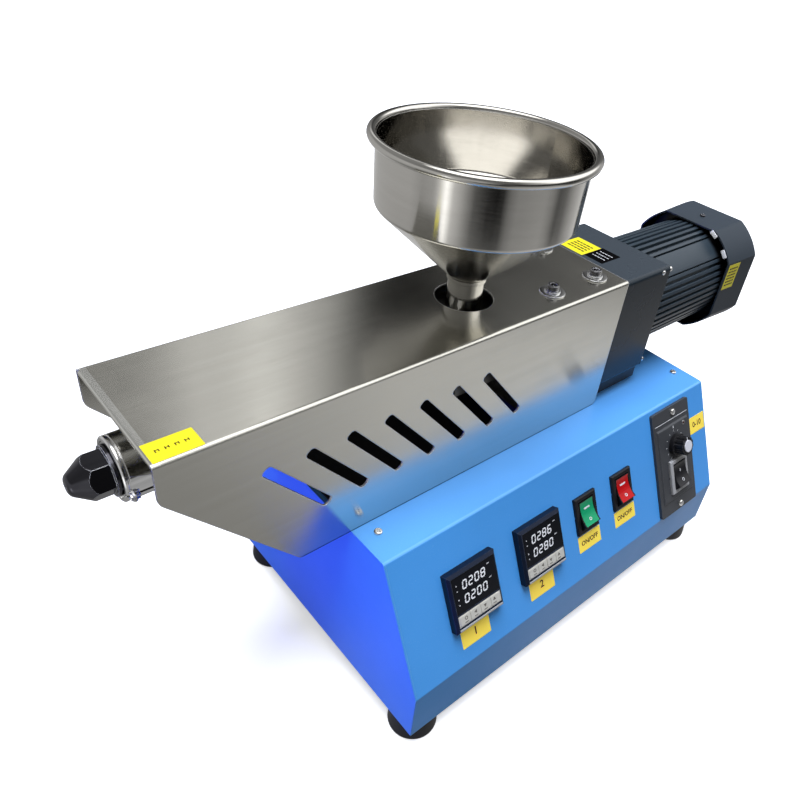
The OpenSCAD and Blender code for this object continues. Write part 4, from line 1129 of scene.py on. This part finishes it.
digitSet = {
    "wide": 4.7, "tall": 7.4, "thick": 1.1, "pitch": 6.1, "slant": 7.0, "out": 0.06, "gap": 0.25,
    "drops": (-6.0, 5.6), "left": 0.6,
}
segmentsOf = {
    "0": "ABCDEF", "1": "BC", "2": "ABGED", "3": "ABGCD", "4": "FGBC",
    "5": "AFGCD", "6": "AFGECD", "7": "ABC", "8": "ABCDEFG", "9": "ABCDFG",
}
dashSet = {"size": (2.6, 0.7), "right": 14.6, "up": 4.6, "turn": 8, "corner": 0.2}
dotSet = {"size": (1.1, 0.9), "right": -17.6, "up": (-2.4, 2.0), "corner": 0.25}
keySet = {
    "signs": ("ring", "left", "down", "up"), "size": 3.0, "pitch": 9.6, "up": 1.1, "rule": (3.4, 0.6),
    "ruleUp": -2.2, "ruleCorner": 0.15, "ringHole": 0.6, "arrowReach": 0.58,
}
arrowTurns = {"left": 90, "up": 0, "down": 180}
bevelHighlightSet = {"size": (43.6, 1.8, 0.5), "drop": 7.0, "corner": 0.6, "edge": 0.22, "sink": 0.05}
controllerSet = {"left": ("0208", "0200"), "right": ("0286", "0280")}


def makeSegment(long):  # one pointed bar of a digit
    reach = digitSet["thick"] / math.sqrt(3)
    bar = startFlat(6, reach, 30)
    for side in (-1, 1):
        pick(bar, "VERT", lambda point: point.co.x * side > 0.01)
        bpy.ops.transform.translate(value=(side * (long / 2 - reach), 0, 0))
    thicken(digitSet["out"])
    return bar


def makeDigits(number):
    lean = math.tan(math.radians(digitSet["slant"]))
    wide = digitSet["wide"] - digitSet["thick"]
    tall = digitSet["tall"] - digitSet["thick"]
    across = makeSegment(wide - digitSet["gap"])
    upright = makeSegment(tall / 2 - digitSet["gap"])
    spots = {  # x and y of a segment's middle, and 1 where it stands upright
        "A": (0, tall / 2, 0), "B": (wide / 2, tall / 4, 1), "C": (wide / 2, -tall / 4, 1),
        "D": (0, -tall / 2, 0), "E": (-wide / 2, -tall / 4, 1), "F": (-wide / 2, tall / 4, 1), "G": (0, 0, 0),
    }
    pieces = []
    for index, digit in enumerate(number):
        middle = (index - (len(number) - 1) / 2) * digitSet["pitch"]
        for segment in segmentsOf[digit]:
            x, y, stands = spots[segment]
            place = Matrix.Translation((middle + x + y * lean, y, 0))
            place = turned(place, 90 - digitSet["slant"] if stands else 0)
            pieces.append(copyOf(upright if stands else across, place))
    for model in (across, upright):
        bpy.data.objects.remove(model)
    return joinAll(pieces)


def makeSign(kind):  # the signs on the keys: a ring, or an arrow that points left, down or up
    size = keySet["size"]
    if kind == "ring":
        return addRing(size, size * keySet["ringHole"], printThick, 0.0, 24)
    arrow = startFlat(3, size * keySet["arrowReach"], arrowTurns[kind])
    thicken(printThick)
    return arrow


def makeDisplayMarks():  # a dash and two dots beside each row of digits
    marks = []
    for drop in digitSet["drops"]:
        spot = (dashSet["right"], -drop + dashSet["up"], 0)
        marks.append(addBlock((*dashSet["size"], printThick), spot, dashSet["turn"], dashSet["corner"]))
        for up in dotSet["up"]:
            spot = (dotSet["right"], -drop + up, 0)
            marks.append(addBlock((*dotSet["size"], printThick), spot, 0, dotSet["corner"]))
    return joinAll(marks)


def makeKeyMarks():  # a sign over a short rule on each key
    marks = []
    for index, kind in enumerate(keySet["signs"]):
        x = (index - 1.5) * keySet["pitch"]
        sign = makeSign(kind)
        marks.append(copyOf(sign, Matrix.Translation((x, keySet["up"], 0))))
        bpy.data.objects.remove(sign)
        ruleSize = (*keySet["rule"], printThick)
        marks.append(addBlock(ruleSize, (x, keySet["ruleUp"], 0), 0, keySet["ruleCorner"]))
    return joinAll(marks)


def dressController(name, rows):
    u, v, out = panelSpan(name + "_controller_display")
    for index, (number, drop) in enumerate(zip(rows, digitSet["drops"])):
        place = onPanel(u - digitSet["left"], v + drop, out)
        settle(makeDigits(number), name + "Digits" + str(index + 1), litDigit, place)
    settle(makeDisplayMarks(), name + "DisplayMarks", whiteInk, onPanel(u, v, out))
    u, v, out = panelSpan(name + "_controller_keys")
    settle(makeKeyMarks(), name + "KeyMarks", greyInk, onPanel(u, v, out))
    # painted highlight: a pale grey strip along the case's lower bevel stands in for the light it catches
    caseOut = panelSpan(name + "_controller_case")[2]
    bevelHighlight = bevelEdges(addBlock(bevelHighlightSet["size"], corner=bevelHighlightSet["corner"]), bevelHighlightSet["edge"])
    place = onPanel(u, v + bevelHighlightSet["drop"], caseOut - bevelHighlightSet["sink"])
    settle(bevelHighlight, name + "KeyBevelHighlight", frameGrey, place)


for name, rows in controllerSet.items():
    dressController(name, rows)
print("controllers dressed")


# Marks on the rockers, set on their curved faces

rockerMarkSet = {
    "green_rocker": {"dash": (7.4, 1.7), "ring": (3.0, 1.7), "up": 5.2, "down": -4.8},
    "red_rocker": {"dash": (7.4, 1.7), "ring": (3.0, 1.7), "up": 5.2, "down": -4.8},
    "run_rocker": {"dash": (1.3, 3.0), "ring": (3.2, 2.0), "up": 4.6, "down": -4.8},
}
markSet = {"thick": 0.22, "corner": 0.35, "edge": 0.05, "from": 50}


def onRocker(body, up):  # a place on the face of a rocker, up from its pin along the panel
    pin = Vector(joints[body + "_tilt"]["pos_m"])
    return sunkOn(body, pin + panelUp * up * mm + panelOut * markSet["from"] * mm)


for body, mark in rockerMarkSet.items():
    dash = addBlock((*mark["dash"], markSet["thick"]), corner=min(mark["dash"]) * markSet["corner"])
    ring = addRing(*mark["ring"], markSet["thick"], 0.0, 28)
    for piece, label, up in ((dash, "Dash", mark["up"]), (ring, "Ring", mark["down"])):
        bevelEdges(piece, markSet["edge"], 1)
        settle(piece, body + label, whiteInk, onRocker(body, up), body)
print("rockers marked")


# Speed control: dial ticks, numbers, pointer, lamp and a painted highlight along the step of the plate's
# raised field

dialSet = {
    "ticks": 11, "sweep": 300, "reach": (12.4, 14.6), "wide": 0.55, "short": 0.65, "corner": 0.12,
    "sink": 0.01,
    "numbers": {"0": -150, "5": 0, "10": 150}, "numberReach": 17.0, "numberSize": 3.2, "fieldIn": 14,
}
pointerSet = {"size": (1.0, 3.0, 0.2), "corner": 0.3, "edge": 0.05, "up": 7.2}
stepHighlightSet = {"u": (306.0, 358.6), "v": 17.6, "wide": 0.7, "thick": 0.12, "corner": 0.2, "edge": 0.04}
lampSet = {
    "u": 348.6, "v": 26.7, "ring": (4.2, 2.9, 0.5), "ringEdge": 0.12, "dome": (2.9, 0.9), "domeEdge": 0.6,
}
knobU, knobV = panelPlace(joints["speed_knob_turn"]["pos_m"])[:2]
fieldOut = panelHeight("speed_plate", knobU - dialSet["fieldIn"], knobV)


def dialSpot(angle, reach):
    turn = math.radians(angle)
    return math.sin(turn) * reach, math.cos(turn) * reach


def makeDial():
    low, high = dialSet["reach"]
    pieces = []
    for index in range(dialSet["ticks"]):
        angle = -dialSet["sweep"] / 2 + index * dialSet["sweep"] / (dialSet["ticks"] - 1)
        long = high - low if index % 5 == 0 else (high - low) * dialSet["short"]
        x, y = dialSpot(angle, low + long / 2)
        pieces.append(addBlock((dialSet["wide"], long, printThick), (x, y, 0), -angle, dialSet["corner"]))
    return joinAll(pieces)


settle(makeDial(), "dialTicks", whiteInk, onPanel(knobU, knobV, fieldOut - dialSet["sink"]))
for number, angle in dialSet["numbers"].items():
    x, y = dialSpot(angle, dialSet["numberReach"])
    place = onPanel(knobU + x, knobV - y, fieldOut)
    name = "dialNumber" + number
    addWords(name, number, dialSet["numberSize"], whiteInk, place, -dialSet["sink"])

pointer = bevelEdges(addBlock(pointerSet["size"], corner=pointerSet["corner"]), pointerSet["edge"], 1)
place = sunkOn("speed_knob", onPanel(knobU, knobV - pointerSet["up"], above).translation)
settle(pointer, "knobPointer", whiteInk, place, "speed_knob")

# painted highlight: a white strip along the edge of the plate's raised field stands in for the light that
# edge catches
lineStart, lineEnd = stepHighlightSet["u"]
lineSize = (lineEnd - lineStart, stepHighlightSet["wide"], stepHighlightSet["thick"])
line = bevelEdges(addBlock(lineSize, corner=stepHighlightSet["corner"]), stepHighlightSet["edge"], 1)
place = onPanel((lineStart + lineEnd) / 2, stepHighlightSet["v"], plateHigh)
settle(line, "stepHighlightLine", whiteInk, place)

place = onPanel(lampSet["u"], lampSet["v"], fieldOut)
lampRing = bevelEdges(addRing(*lampSet["ring"], 0.0, 32), lampSet["ringEdge"])
settle(lampRing, "speedLampRing", zincSteel, place)
lamp = bevelEdges(addRound(*lampSet["dome"], 0.0, 32), lampSet["domeEdge"], 4)
settle(lamp, "speedLamp", redLamp, place)
print("speed control dressed")


# Clamps that draw the heater bands together, at the split on the lower front side

clampSet = {
    "turn": 72, "reach": 19.6, "in": 4.2, "apart": 1.6, "ear": (5.6, 0.8, 4.0), "earLow": -1.0,
    "earEdge": 0.2,
    "foot": 2.4, "footOut": 0.9, "footLow": -0.3, "screw": (2.0, 6.4), "screwUp": 1.5,
    "head": (3.4, 1.5), "headIn": 0.6, "headEdge": 0.3, "nut": (3.8, 1.5), "nutEdge": 0.2,
}


def makeClamp():  # two bent ears with a cross screw and its nut
    long, thick, tall = clampSet["ear"]
    apart = clampSet["apart"]
    pieces = []
    for side in (-1, 1):
        ear = addBlock((long, thick, tall), (0, side * apart, clampSet["earLow"]))
        footSpot = (0, side * (apart + clampSet["footOut"]), clampSet["footLow"])
        foot = addBlock((long, clampSet["foot"], thick), footSpot)
        pieces.append(bevelEdges(joinAll([ear, foot]), clampSet["earEdge"]))
    wide, screwLong = clampSet["screw"]
    screw = addRound(wide, screwLong, -screwLong / 2, 24)
    head = addRound(*clampSet["head"], screwLong / 2 - clampSet["headIn"], 28)
    bevelEdges(head, clampSet["headEdge"])
    nut = bevelEdges(addRound(*clampSet["nut"], -screwLong / 2, 6), clampSet["nutEdge"])
    cross = joinAll([screw, head, nut])
    lift = Matrix.Translation((0, 0, clampSet["screwUp"])) @ Matrix.Rotation(math.radians(90), 4, "X")
    pieces.append(copyOf(cross, lift))
    bpy.data.objects.remove(cross)
    return joinAll(pieces)


clampPlaces = []
turn = math.radians(clampSet["turn"])
clampWay = Vector((0, -math.sin(turn), -math.cos(turn)))
for name in ("front_heater_band", "rear_heater_band"):
    low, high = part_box(name)
    spot = Vector((low.x + clampSet["in"] * mm, axisY, barrelZ)) + clampWay * clampSet["reach"] * mm
    clampPlaces.append(facing(spot, clampWay, clampWay.cross(Vector((1, 0, 0)))))
settleEach(makeClamp(), "bandClamp", zincSteel, clampPlaces)
print("band clamps set")
